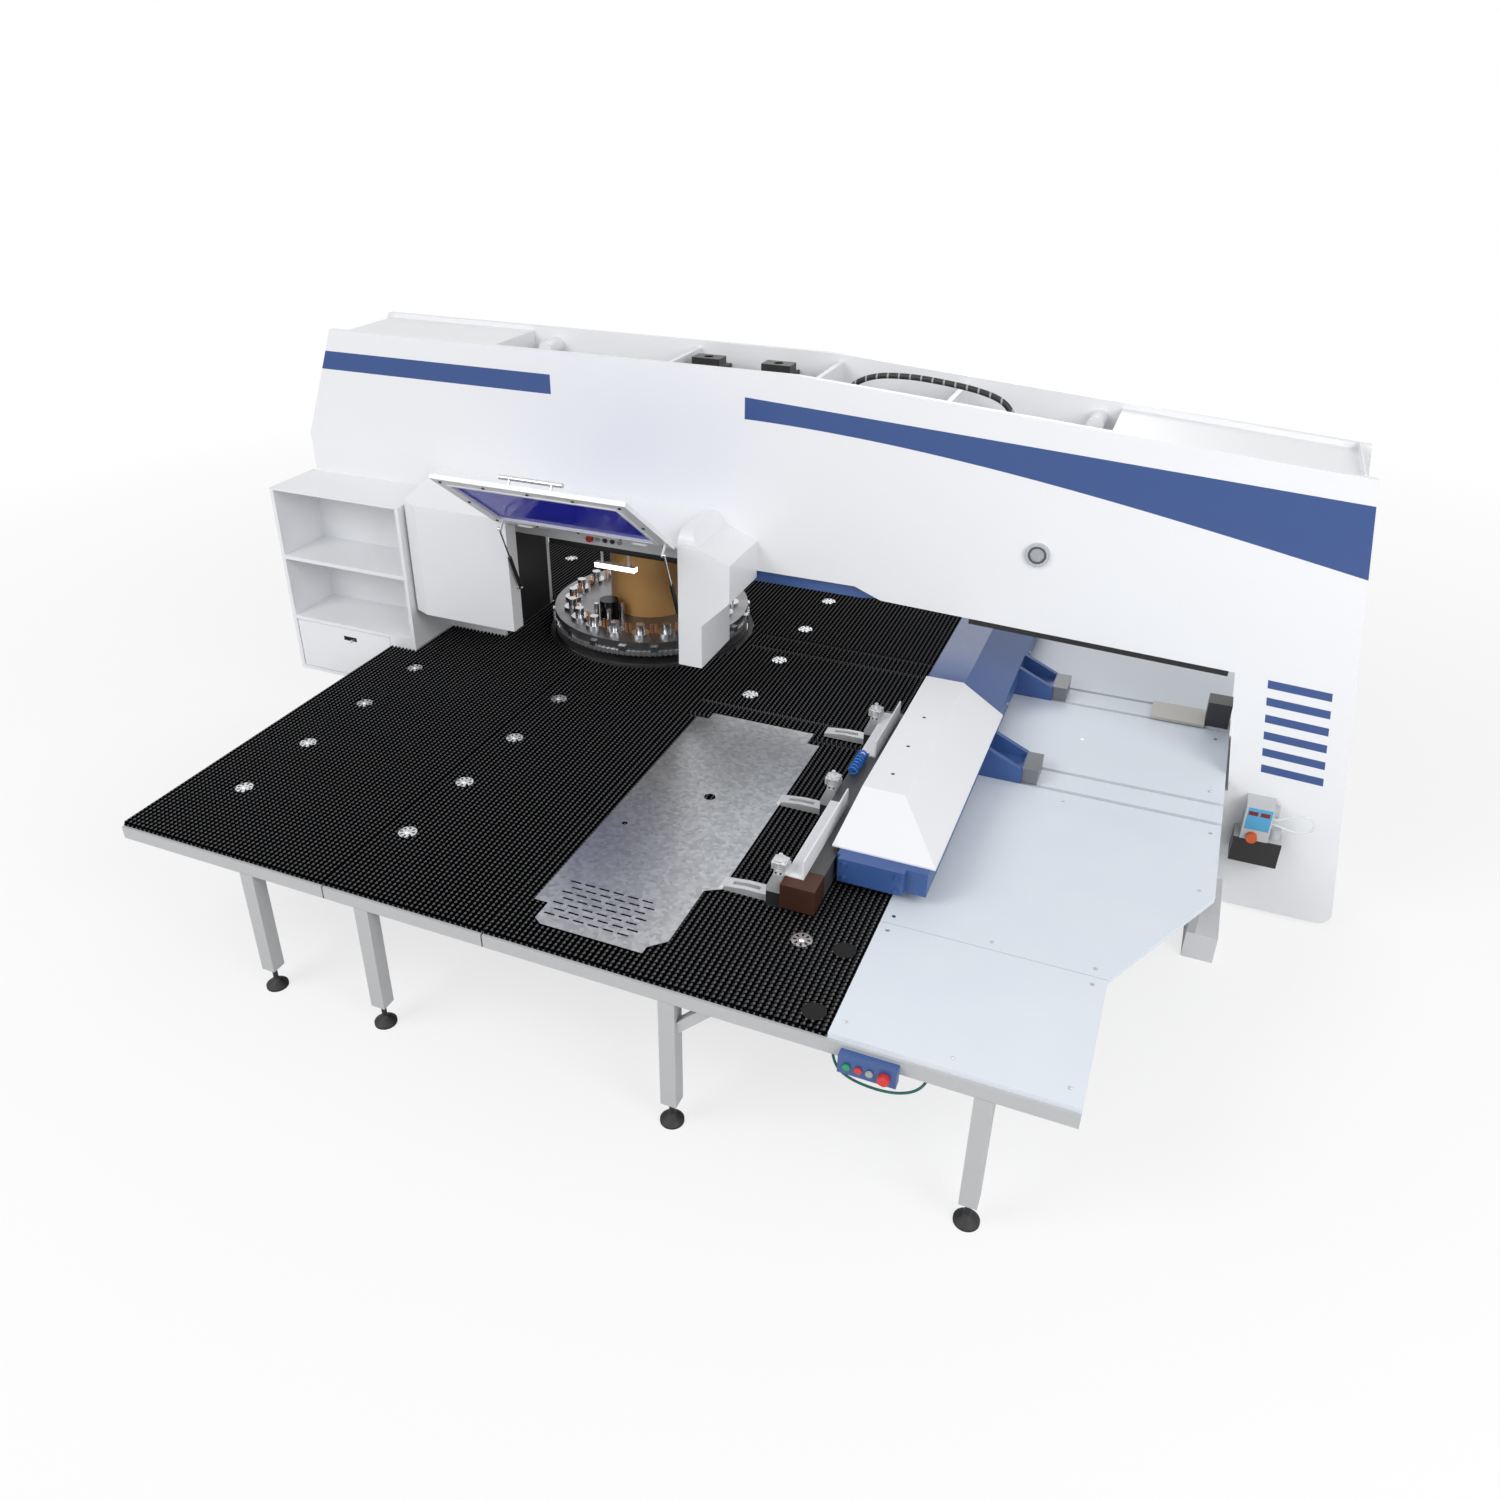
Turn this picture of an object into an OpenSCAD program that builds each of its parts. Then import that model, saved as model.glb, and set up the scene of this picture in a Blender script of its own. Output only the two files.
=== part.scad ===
// Turret punch press with a closed frame, a brush table and a clamp carriage on a cross beam.
// Millimetres, +Z up, +X along the long frame, +Y to the rear, origin on the floor under the middle.

/* [Frame] */
// Half of the overall length, from the middle to the foot of the right post
half_len = 2856; // [2830:1:2900]
// Depth of the frame over its two side plates
frame_d = 550; // [500:1:620]
// Thickness of each side plate
plate_t = 30; // [20:1:36]
// Height of the frame's level top edge
top_h = 2348; // [2320:1:2420]
// Height of the top edge at the right end
right_top_h = 2165; // [2130:1:2220]
// Height of the throat at the right post
throat_h = 1237; // [1220:1:1270]
// Gap under the side plates
plate_gap = 15; // [5:1:25]

/* [Table] */
// Height of the brush tips
table_h = 714; // [705:1:722]
// Reach of the table in front of the middle
table_front = 2584; // [2560:1:2600]
// Depth of a brush board with its bristles
brush_d = 24; // [20:1:26]
// Pitch of the bristle rows
row_pitch = 24; // [22:1:40]
// Width of the square leg tubes
leg_w = 66; // [50:1:80]
// Height of the table's frame tubes
tube_h = 58; // [50:1:62]

/* [Turret] */
// Radius of the toothed ring of the upper turret
turret_r = 575; // [560:1:580]
// Number of teeth on the ring
ring_teeth = 120; // [60:1:150]
// Number of tool stations
stations = 20; // [12:1:24]
// Gap between the brush tips and the upper turret
turret_gap = 51; // [45:1:60]

/* [Hood] */
// How far the hood stands in front of the frame's middle
hood_front = 640; // [620:1:660]
// Height of the hood's roof
hood_top = 1568; // [1560:1:1590]
// Gap between the brush tips and the hood's lower edge
hood_gap = 226; // [218:1:240]
// Thickness of the folded sheet
sheet_t = 6; // [4:1:8]
// Length of the hatch from its hinge to its free edge
hatch_len = 622; // [600:1:625]
// Angle at which the hatch stands open, from hanging
hatch_open = 127; // [120:1:130]

/* [Beam and carriage] */
// Height of the cross beam's top above the brush tips
beam_rise = 271; // [260:1:285]
// Half of the cross beam's length
beam_half = 1780; // [1700:1:1800]
// Spacing of the workpiece clamps
clamp_pitch = 659; // [640:1:670]
// Thickness of the workpiece
work_t = 2; // [1:0.5:3]

/* [Hidden] */
$fn = 48;
cut = 5;
fit = 0.3;

// Frame outline
end_in = 30;
frame_left = half_len - end_in;
slant_fall = 588;
slant_h = top_h - slant_fall;
slant_run = 244;
kink_x = 91;
top_end_in = 312;
right_top_x = half_len - top_end_in;
foot_end_in = 479;
post_foot_in = half_len - foot_end_in;
throat_end_in = 660;
post_in_top = half_len - throat_end_in;
throat_left = -1640;
throat_floor = table_h - brush_d - tube_h;
corner_r = 60;
step_rise = 118;
step_top = throat_h + step_rise;
step_end = 426;
bevel_end = 562;
bevel_rise = 65;
bevel_top = throat_h + bevel_rise;
box_in = 20;
y_front = -frame_d / 2;
y_rear = frame_d / 2;
y_in = frame_d / 2 - plate_t;

// Trough inside the upper beam
trough_depth = 265;
trough_floor = min(top_h, right_top_h) - trough_depth;
web_t = 40;
rib_t = 24;
tray_in = 44;
tray_end = right_top_x - tray_in;
tray_len = 1000;
tray_start = tray_end - tray_len;
ribs = [throat_left, -640, 130, 760, tray_start];
trough_left_in = 436;
trough_left = trough_left_in - half_len;
trough_right_in = 214;
trough_right = right_top_x - trough_right_in;
cover_t = 8;
cover_drop = 24;
lid_in = 296;
lid_left = lid_in - half_len;
lid_len = 944;
lid_end = lid_left + lid_len;
tray_lip = 30;
lip_left = -360;
lip_drop = 68;

// Trough fittings
block_w = 150;
block_d = 90;
block_y = -10;
block_h = 110;
block_shares = [0.175, 0.673];
ring_r = 24;
elbow_r = 42;
elbow_x = -1469;
stub_x = 1340;
stub_r = 38;
stub_len = 150;
hose_r = 14;
hose_route = [[230, 60, -168], [230, 60, -143], [290, 44, -80], [400, 20, -36], [560, 0, -22],
              [740, -20, -30], [900, -30, -52], [1000, -38, -86], [1050, -40, -143], [1055, -40, -193],
              [1055, -40, -218]];
hose_pts = [for (p = hose_route) p + [0, 0, top_h]];
hose_sides = 10;
fitting_r = 22;
port_x = 1275;
port_z = 1655;
port_r = 56;
port_t = 16;
track_h = 26;
track_d = 60;
track_left = 1000;
track_pitch = 46;

// Table layout
table_left = -2155;
seam_1 = -1070;
seam_2 = -311;
sheet_left = 1077;
side_out = 66;
side_right = post_in_top + side_out;
table_step = 332;
table_right = side_right - table_step;
diag_y = -1265;
joint_y = -1925;
seam_gap = 4;
brush_z = table_h - brush_d;
brush_base = 8;
bristle_w = 14;
bristle_tip = 7;
trim_t = 12;
well_r = turret_r + 25;
rail_1 = -628;
rail_2 = 240;
rail_w = 140;
slot_w = 24;
rail_left = -280;
panel_drop = 2;
tube_w = 60;
leg_in = 303;
leg_xs = [-1474, -886, 471, table_right - leg_in];
leg_foot = 110;
brace_t = 40;
brace_run = 150;
pad_r = 48;
pad_h = 22;
pad_top_r = 36;
stem_r = 11;
ball_r = 41;
ball_rise = 6;
ball_dome = 15;
ball_pitch_x = 900;
ball_pitch_y = 437;
ball_x0 = -1865;
ball_y0 = -2145;
disc_r = 44;
disc_x = 1004;
foot_w = 136;
foot_h = 140;
foot_front = 755;
foot_inset = 37;
foot_x = side_right - foot_inset;

// Button box on the front rail
box_x = 1133;
box_w = 207;
box_d = 38;
box_h = 76;
box_drop = 16;
box_shares = [0.16, 0.36, 0.55, 0.80];
button_r = 13;
button_rise = 9;
estop_r = 21;
estop_rise = 22;
stop_neck = 9;
button_sink = 12;
cord_r = 5;
cord_sides = 8;
cord_route = [[-37, 28, -0.5], [-37, 28, -18], [-25, 18, -47], [-3, 8, -70], [37, 0, -86], [92, -4, -94],
              [152, -4, -95], [207, -1, -87], [252, 6, -70], [281, 16, -47], [297, 28, -18], [297, 28, -0.5]];
cord_pts = [for (p = cord_route) p + [box_x, -table_front, brush_z - tube_h]];

// Tool cabinet
cab_w = 860;
cab_right = cab_w - half_len;
cab_low = 424;
cab_top = 1540;
cab_wall = 22;
cab_shares = [0.30, 0.635];
door_gap = 3;
lock_w = 90;
lock_h = 26;
lock_share = 0.57;

// Hood
cover_gap = 16;
cover_left = cab_right + cover_gap;
cover_right = -1330;
wing_left = -362;
wing_w = 273;
wing_right = wing_left + wing_w;
wing_out = 147;
wing_skirt = 232;
shoulder_run = 169;
shoulder_drop = 53;
fold_run = 42;
fold_drop = 11;
roof_rise = 80;
nose_r = 80;
cover_bevel = 94;
cover_bevel_d = 40;
hood_low = table_h + hood_gap;
roof_z = hood_top + roof_rise;
flange_w = 90;
hatch_left = -1384;
hatch_right = -372;
hatch_t = 22;
hatch_rim = 74;
window_t = 5;
hinge_out = 14;
hinge_drop = 8;
hinge_y = -hood_front - hinge_out;
hinge_z = hood_top - hinge_drop;
handle_r = 11;
handle_w = 330;
handle_off = 42;
strut_x = [-1306, -388];
strut_low_y = -580;
strut_low_z = 1180;
strut_r = 10;
rod_r = 4.5;
eye_r = 9;
eye_t = 10;
strut_arm = 60;
strut_drop = 50;
barrel_len = 212;
pin_len = 18;
pin_r = 6;
hinge_pin_r = 4;
knuckle_r = 7;
knuckle_len = 70;
knuckle_in = 150;
knuckles = [hatch_left + knuckle_in, hatch_right - knuckle_in - knuckle_len];

// Control rail and lamp behind the hatch
panel_z = 1393;
hood_button_x0 = -1035;
hood_button_pitch = 44;
hood_rail_w = 900;
hood_rail_h = 74;
hood_rail_t = 10;
seal_t = 14;
lamp_x = -905;
lamp_w = 240;
lamp_z = 1226;
lamp_h = 26;
lamp_d = 34;

// Turret
turret_x = -930;
turret_y = 215;
upper_z = table_h + turret_gap;
upper_t = 78;
upper_top = upper_z + upper_t;
ring_h = 26;
tooth_d = 9;
rim_drop = 12;
station_r = 462;
guide_r = 42;
guide_h = 34;
flange_rim = 7;
punch_r = 24;
punch_h = 30;
spring_r = 9;
spring_h = 62;
spring_off = 58;
clamp_w = 40;
clamp_h = 30;
clamp_d = 14;
hub_r = 232;
holder_r = 96;
holder_h = 118;
holder_a = 250;
bolt_r = 13;
lower_r = 560;
lower_gap = 4;
lower_z = throat_floor + lower_gap;
shaft_r = 24;
shaft_len = 80;
die_r = 30;
ram_x = -512;
ram_y = 0;
ram_r = 95;
ram_gap = 167;
ram_low = upper_top + ram_gap;
striker_r = 36;
striker_len = 90;

// Cross beam
beam_left = 850;
beam_right = 1216;
beam_gap = 48;
beam_low = table_h + beam_gap;
beam_top = table_h + beam_rise;
beam_step = 115;
beam_step_y = -405;
cap_t = 30;
track_w = 22;
track_shares = [0.2, 0.8];
cap_left = 862;
cap_right = 1130;
shoe_len = 180;
shoe_w = 190;
shoe_lip = 12;
lip_depth = 14;
gusset_t = 26;
gusset_gap = 4;
gusset_h = beam_top - beam_step - beam_low - gusset_gap;
block_len = 70;
hood_skirt = 815;
hood_far = 1236;
ridge_left = 852;
ridge_right = 1032;
ridge_rise = 23;
ridge_top = beam_top + ridge_rise;
ridge_front = -1474;
skirt_front = -1742;
ridge_hole_r = 9;
ridge_shares = [0.13, 0.36, 0.62];

// Clamp carriage
bar_left = 700;
bar_right = 842;
bar_gap = 26;
bar_low = table_h + bar_gap;
bar_h = 110;
bar_top = bar_low + bar_h;
bar_front = -2033;
bar_rear = -540;
guard_w = 76;
guard_h = 84;
guard_shares = [[0.04, 0.42], [0.70, 0.98]];
clamp_y0 = -1956;
jaw_tip = 431;
jaw_w = 62;
clamp_x = 636;
clamp_bw = 108;
clamp_rise = 22;
clamp_top = bar_top + clamp_rise;
pivot_x = 664;
pivot_r = 7;
jaw_t = 22;
jaw_eye = 15;
air_r = 26;
air_len = 190;
work_x0 = -215;
work_x1 = 444;
work_y0 = -2467;
work_y1 = -682;
work_z = table_h + ball_rise;
notch = 62;
hole_r = 26;
hole_at = [134, -1398];
small_hole_at = [-124, -1733];
small_hole_r = 13;
slot_len = 46;
slot_gap = 9;
slot_cols = 6;
slot_rows = 7;
slot_in = 78;
slot_x0 = work_x0 + slot_in;
slot_y0 = work_y0 + notch;

// Lubricator
lube_in = 484;
lube_x = half_len - lube_in;
lube_z = 470;
lube_w = 120;
lube_h = 176;
lube_d = 118;
tank_w = 206;
tank_h = 132;
tank_d = 112;
knob_r = 24;
knob_h = 26;
gauge_r = 30;
gauge_t = 24;
filler_r = 26;
tube_r = 5;
tube_route = [[0.5, -100, 120], [20, -100, 120], [70, -104, 150], [112, -106, 168], [150, -108, 164],
              [168, -108, 136], [160, -108, 104], [126, -106, 84], [80, -104, 80], [20, -100, 92],
              [0.5, -100, 92]];
tube_pts = [for (p = tube_route) p + [lube_x + lube_w, y_front, lube_z]];

// Drive at the end of the rear rail
motor_in = 122;
motor_x = side_right - motor_in;
motor_y = rail_2;
motor_w = 110;
motor_d = 110;
motor_h = 130;
plate_w = 255;
plate_d = 170;
plate_h = 16;

// Worked-out places
table_rear = table_front + box_d + estop_rise - pad_r + tube_w / 2;
function top_z(x) =
  x < kink_x ? top_h : top_h - (top_h - right_top_h) * (x - kink_x) / (right_top_x - kink_x);
function slant_x(z) = slant_run * max(0, z - slant_h) / (top_h - slant_h) - frame_left;
function post_in(z) = post_in_top + (post_foot_in - post_in_top) * (throat_h - z) / (throat_h - plate_gap);
function post_out(z) = right_top_x + (half_len - right_top_x) * (right_top_h - z) / (right_top_h - plate_gap);
function shared(a, b, share) = a + (b - a) * share;
hatch_u = [0, -sin(hatch_open), -cos(hatch_open)];
hatch_n = [0, cos(hatch_open), -sin(hatch_open)];
strut_top = [0, hinge_y, hinge_z] + strut_arm * hatch_u + strut_drop * hatch_n;
strut_vec = strut_top - [0, strut_low_y, strut_low_z];
strut_len = norm(strut_vec);
strut_tilt = atan2(-strut_vec[1], strut_vec[2]);
strut_shut = norm([strut_drop + hinge_y - strut_low_y, hinge_z - strut_arm - strut_low_z]);
rod_low = eye_r * 2 + fit + pin_r + strut_len - strut_shut;
panel_z0 = brush_z;
panel_z1 = table_h - panel_drop;

// Shapes that several pieces share
module block(x0, x1, y0, y1, z0, z1) {
  translate([x0, y0, z0]) cube([x1 - x0, y1 - y0, z1 - z0]);
}
module xz(y0, y1) {
  translate([0, y1, 0]) rotate([90, 0, 0]) linear_extrude(height = y1 - y0) children();
}
module yz(x0, x1) {
  translate([x0, 0, 0]) rotate([90, 0, 90]) linear_extrude(height = x1 - x0) children();
}
module xy(z0, z1) {
  translate([0, 0, z0]) linear_extrude(height = z1 - z0) children();
}
module post(x, y, z0, z1, r) {
  translate([x, y, z0]) cylinder(h = z1 - z0, r = r);
}
module peg_y(x, z, y0, y1, r) {
  translate([x, y1, z]) rotate([90, 0, 0]) cylinder(h = y1 - y0, r = r);
}
module peg_x(y, z, x0, x1, r) {
  translate([x0, y, z]) rotate([0, 90, 0]) cylinder(h = x1 - x0, r = r);
}
module in_hatch() {
  translate([0, hinge_y, hinge_z]) rotate([180 - hatch_open, 0, 0]) children();
}
module in_strut(x) {
  translate([x, strut_low_y, strut_low_z]) rotate([strut_tilt, 0, 0]) children();
}

// A round tube along a list of points, its rings carried along without twist
function unit(v) = v / norm(v);
function way(p, i) = unit(p[min(i + 1, len(p) - 1)] - p[max(i - 1, 0)]);
function square_to(n, t) = unit(n - t * (n * t));
function carry(p, i, n) = i == len(p) ? [] :
  let (m = square_to(n, way(p, i))) concat([m], carry(p, i + 1, m));
module hose(p, r, sides) {
  ns = carry(p, 0, [0, 1, 0]);
  rings = len(p);
  points = [for (i = [0 : rings - 1]) for (k = [0 : sides - 1])
    p[i] + r * (cos(360 * k / sides) * ns[i] + sin(360 * k / sides) * cross(way(p, i), ns[i]))];
  skin = [for (i = [0 : rings - 2]) for (k = [0 : sides - 1]) for (half = [0, 1])
    let (a = i * sides + k, b = i * sides + (k + 1) % sides)
    half == 0 ? [a, a + sides, b] : [b, a + sides, b + sides]];
  ends = [[for (k = [0 : sides - 1]) k], [for (k = [0 : sides - 1]) rings * sides - 1 - k]];
  polyhedron(points, concat(skin, ends));
}

// Frame
module side_outline() {
  difference() {
    polygon(concat(
      [[-frame_left, plate_gap], [-frame_left, slant_h], [slant_run - frame_left, top_h], [kink_x, top_h],
       [right_top_x, right_top_h]],
      [for (a = [0 : 15 : 90])
        [half_len - corner_r + corner_r * cos(a), plate_gap + corner_r - corner_r * sin(a)]]));
    polygon([[throat_left, throat_floor], [throat_left, step_top], [step_end, step_top],
      [bevel_end, bevel_top], [post_in_top, throat_h], [post_in(throat_floor), throat_floor]]);
  }
}
module front_plate() {
  color("whitesmoke") xz(y_front, y_front + plate_t) side_outline();
}
module rear_plate() {
  color("whitesmoke") xz(y_rear - plate_t, y_rear) side_outline();
}
module frame_columns() {
  head = trough_floor - web_t;
  color("gainsboro") {
    xz(-y_in, y_in) polygon([[box_in - frame_left, 0], [throat_left - fit, 0], [throat_left - fit, head],
      [slant_x(head) + box_in * 2, head], [box_in - frame_left, min(slant_h, head - box_in)]]);
    difference() {
      xz(-y_in, y_in) polygon([[throat_left, 0], [post_in(0) + box_in, 0],
        [post_in(throat_floor) + box_in, throat_floor], [throat_left, throat_floor]]);
      post(turret_x, turret_y, throat_floor - shaft_len, throat_floor + cut, shaft_r + fit);
    }
    xz(-y_in, y_in) polygon([[post_in(0) + box_in + fit, 0], [half_len - corner_r, 0],
      [post_out(head) - box_in, head], [post_in_top + box_in + fit, head],
      [post_in_top + box_in + fit, throat_h]]);
    for (side = [0, 1]) mirror([0, side, 0])
      block(foot_x, foot_x + foot_w, -foot_front, y_front, 0, foot_h);
  }
}
module upper_web() {
  color("whitesmoke") {
    block(throat_left, post_in_top + box_in, -y_in, y_in, step_top, step_top + web_t);
    block(trough_left, trough_right, -y_in, y_in, trough_floor - web_t, trough_floor);
    for (x = ribs)
      block(x, x + rib_t, -y_in, y_in, step_top, top_z(x + rib_t) - cover_drop - cover_t);
    for (x = [trough_left, trough_right - rib_t])
      block(x, x + rib_t, -y_in, y_in, trough_floor - cut, top_z(x + rib_t) - cover_drop - cover_t);
  }
}
module top_covers() {
  color("whitesmoke") {
    block(lid_left, lid_end, -y_in, y_in, top_h - cover_drop - cover_t, top_h - cover_drop);
    xz(-y_in, y_in) polygon([[tray_start, top_z(tray_start) - cover_drop - cover_t],
      [tray_end, top_z(tray_end) - cover_drop - cover_t], [tray_end, top_z(tray_end) - cover_drop + tray_lip],
      [tray_end - cover_t, top_z(tray_end) - cover_drop + tray_lip],
      [tray_end - cover_t, top_z(tray_end) - cover_drop],
      [tray_start, top_z(tray_start) - cover_drop]]);
  }
}
module head_lip() {
  color("steelblue") xz(-y_in, y_in) polygon([[lip_left, step_top], [lip_left, step_top - lip_drop],
    [shared(step_end, bevel_end, 0.25), step_top - lip_drop], [bevel_end, bevel_top], [bevel_end, step_top]]);
}
module trough_fittings() {
  block_z = top_h - cover_drop - block_h;
  color("dimgray") {
    for (share = block_shares) {
      x = shared(ribs[1] + rib_t, ribs[2], share);
      difference() {
        union() {
          block(x - block_w / 2, x + block_w / 2, block_y, block_y + block_d, block_z, block_z + block_h);
          block(x - block_w / 4, x + block_w / 4, block_y + cut, y_in, block_z, block_z + block_h / 3);
        }
        post(x, block_y + block_d / 2, block_z + block_h - ring_r, block_z + block_h + cut, ring_r);
      }
    }
    for (x = [elbow_x, stub_x + rib_t + stub_r])
      peg_y(x, top_z(x) - elbow_r * 2, y_in - stub_len, y_in, stub_r);
    for (p = [hose_pts[0], hose_pts[len(hose_pts) - 1]])
      post(p[0], p[1], trough_floor, p[2] - fit, fitting_r);
  }
}
module pressure_hose() {
  color("black") hose(hose_pts, hose_r, hose_sides);
}
module viewing_port() {
  color("silver") translate([port_x, y_front, port_z]) rotate([90, 0, 0]) difference() {
    cylinder(h = port_t, r = port_r);
    translate([0, 0, port_t / 2]) cylinder(h = port_t, r = port_r * 0.55);
  }
}
module cable_track() {
  tilt = atan2(throat_h - bevel_top, post_in_top - bevel_end);
  far = norm([post_in_top - bevel_end, throat_h - bevel_top]);
  color("black") translate([bevel_end, 0, bevel_top]) rotate([0, -tilt, 0]) {
    block(track_left - bevel_end, far - track_h, y_front, y_front + track_d / 2, -track_h - fit, -fit);
    for (x = [track_left - bevel_end + track_pitch : track_pitch : far - track_pitch])
      peg_y(x, -track_h / 2, y_front - track_h / 6, y_front + cut, track_h / 3);
  }
}

// Tool cabinet
cab_split = shared(cab_low, cab_top, cab_shares[0]);
door_z0 = cab_low + cab_wall + door_gap;
door_z1 = cab_split - cab_wall / 2 - door_gap;
door_pin_x = cab_wall - half_len + door_gap + cab_wall / 2;
door_pin_y = cab_wall / 2 - hood_front;
pin_deep = cab_wall / 3;
door_right = min(table_left - box_in, cab_right - cab_wall - door_gap);
lock_x = shared(cab_wall - half_len + door_gap, door_right, lock_share);
lock_z = cab_split - cab_wall - lock_h * 2;
module tool_cabinet() {
  color("white") difference() {
    block(-half_len, cab_right, -hood_front, y_front, cab_low, cab_top);
    for (i = [0, 1])
      block(cab_wall - half_len, cab_right - cab_wall, -hood_front - cut, y_front - cab_wall,
        shared(cab_low, cab_top, cab_shares[i]) + cab_wall / 2,
        (i == 0 ? shared(cab_low, cab_top, cab_shares[1]) : cab_top) - cab_wall / 2);
    block(cab_wall - half_len, door_right + door_gap, -hood_front - cut, y_front - cab_wall,
      cab_low + cab_wall, cab_split - cab_wall / 2);
    block(cab_wall - half_len, cab_right - cab_wall, cab_wall - hood_front, y_front - cab_wall,
      cab_low + cab_wall, cab_split - cab_wall / 2);
    post(door_pin_x, door_pin_y, door_z0 - door_gap - pin_deep, door_z1 + door_gap + pin_deep,
      hinge_pin_r + fit);
  }
}
module cabinet_door() {
  color("white") difference() {
    union() {
      block(door_pin_x, door_right, -hood_front, cab_wall - hood_front, door_z0, door_z1);
      post(door_pin_x, door_pin_y, door_z0, door_z1, cab_wall / 2);
      post(door_pin_x, door_pin_y, door_z0 - door_gap - pin_deep, door_z1 + door_gap + pin_deep, hinge_pin_r);
    }
    block(lock_x - lock_w / 2, lock_x + lock_w / 2, -hood_front - cut, cab_wall - hood_front + cut,
      lock_z - lock_h / 2, lock_z + lock_h / 2);
  }
}
module cabinet_lock() {
  color("black") difference() {
    block(lock_x - lock_w / 2, lock_x + lock_w / 2, -hood_front, cab_wall - hood_front,
      lock_z - lock_h / 2, lock_z + lock_h / 2);
    block(lock_x - lock_w * 0.4, lock_x + lock_w * 0.2, -hood_front - cut, cab_wall / 2 - hood_front,
      lock_z - lock_h * 0.3, lock_z + lock_h * 0.3);
  }
}

// Hood: a left cover with a sloping roof, and a wing that steps out on the right
module roof_side(low, top_in, y0, y1) {
  polygon([[y0, low], [y0, hood_top - top_in], [y1, roof_z - top_in], [y1, low]]);
}
module cover_plan(in, over) {
  polygon([[cover_left + in, y_front + over], [cover_left + in, cover_bevel_d - hood_front + in / 2],
    [cover_left + cover_bevel + in / 2, in - hood_front], [cover_right + over, in - hood_front],
    [cover_right + over, y_front + over]]);
}
module hood_shell() {
  color("white") {
    difference() {
      intersection() {
        yz(cover_left, cover_right) roof_side(hood_low, 0, -hood_front, y_front);
        xy(hood_low, roof_z) cover_plan(0, 0);
      }
      intersection() {
        yz(cover_left, cover_right + cut)
          roof_side(hood_low - cut, sheet_t, sheet_t - hood_front, y_front + cut);
        xy(hood_low - cut, roof_z) cover_plan(sheet_t, cut);
      }
    }
    yz(cover_right, wing_left) polygon([[-hood_front, hood_top - sheet_t], [-hood_front, hood_top],
      [y_front, roof_z], [y_front, roof_z - sheet_t]]);
    for (x = knuckles) difference() {
      union() {
        peg_x(hinge_y, hinge_z, x, x + knuckle_len, knuckle_r);
        block(x, x + knuckle_len, hinge_y, box_in - hood_front, hinge_z - hinge_pin_r / 2,
          hood_top - sheet_t / 2);
      }
      peg_x(hinge_y, hinge_z, x - cut, x + knuckle_len + cut, hinge_pin_r + fit);
    }
    peg_x(strut_low_y, strut_low_z, cover_right - cut, strut_x[0] + pin_len / 2, pin_r);
    block(cover_right - sheet_t, cover_right, -hood_front + sheet_t / 2, flange_w - hood_front,
      hood_low, hood_top - sheet_t / 2);
  }
}
module wing_front(in, over) {
  foot = wing_right - wing_out;
  bend = hood_low + wing_skirt;
  ridge = wing_right - shoulder_run;
  polygon([[wing_left - over, hood_low - over], [foot - in, hood_low - over], [foot - in, bend],
    [wing_right - in, bend + wing_out], [wing_right - in, hood_top - shoulder_drop - in / 2],
    [ridge - in / 2, hood_top + fold_drop - in], [ridge - fold_run - in / 2, roof_z - in],
    [wing_left - over, roof_z - in]]);
}
function nose(in) = [for (a = [0 : 15 : 90])
  [nose_r - hood_front - (nose_r - in) * cos(a), roof_z - nose_r + (nose_r - in) * sin(a)]];
module wing_side(in, over) {
  polygon(concat([[in - hood_front, hood_low - over]], nose(in),
    [[y_front + over, roof_z - in], [y_front + over, hood_low - over]]));
}
module hood_wing() {
  color("white") {
    difference() {
      intersection() {
        xz(-hood_front, y_front) wing_front(0, 0);
        yz(wing_left, wing_right) wing_side(0, 0);
      }
      intersection() {
        xz(sheet_t - hood_front, y_front + cut) wing_front(sheet_t, cut);
        yz(wing_left - cut, wing_right) wing_side(sheet_t, cut);
      }
    }
    yz(wing_left, wing_left + sheet_t)
      polygon(concat([[-hood_front, hood_top - sheet_t]], nose(0), [[y_front, roof_z]]));
    block(wing_left, wing_left + sheet_t, -hood_front + sheet_t / 2, flange_w - hood_front, hood_low, hood_top);
    peg_x(strut_low_y, strut_low_z, strut_x[1] - pin_len / 2, wing_left - fit, pin_r);
  }
}

// Hatch, drawn hanging from its hinge line and then swung open
module hatch_frame() {
  color("white") in_hatch() {
    difference() {
      block(hatch_left, hatch_right, 0, hatch_t, 0, hatch_len);
      block(hatch_left + hatch_rim, hatch_right - hatch_rim, -cut, hatch_t + cut, hatch_rim,
        hatch_len - hatch_rim);
      for (x = knuckles)
        block(x - fit, x + knuckle_len + fit, -cut, hatch_t + cut, -cut, knuckle_r + fit);
    }
    for (x = knuckles)
      peg_x(0, 0, x - cut, x + knuckle_len + cut, hinge_pin_r);
    for (x = [strut_x[0] + eye_t, strut_x[1] - eye_t])
      block(x - eye_t / 4, x + eye_t / 4, -strut_drop - eye_r, cut, strut_arm - eye_r, strut_arm + eye_r);
  }
}
module hatch_window() {
  y0 = (hatch_t - window_t) / 2;
  color("blue") in_hatch()
    block(hatch_left + hatch_rim, hatch_right - hatch_rim, y0, y0 + window_t, hatch_rim,
      hatch_len - hatch_rim);
}
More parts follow.
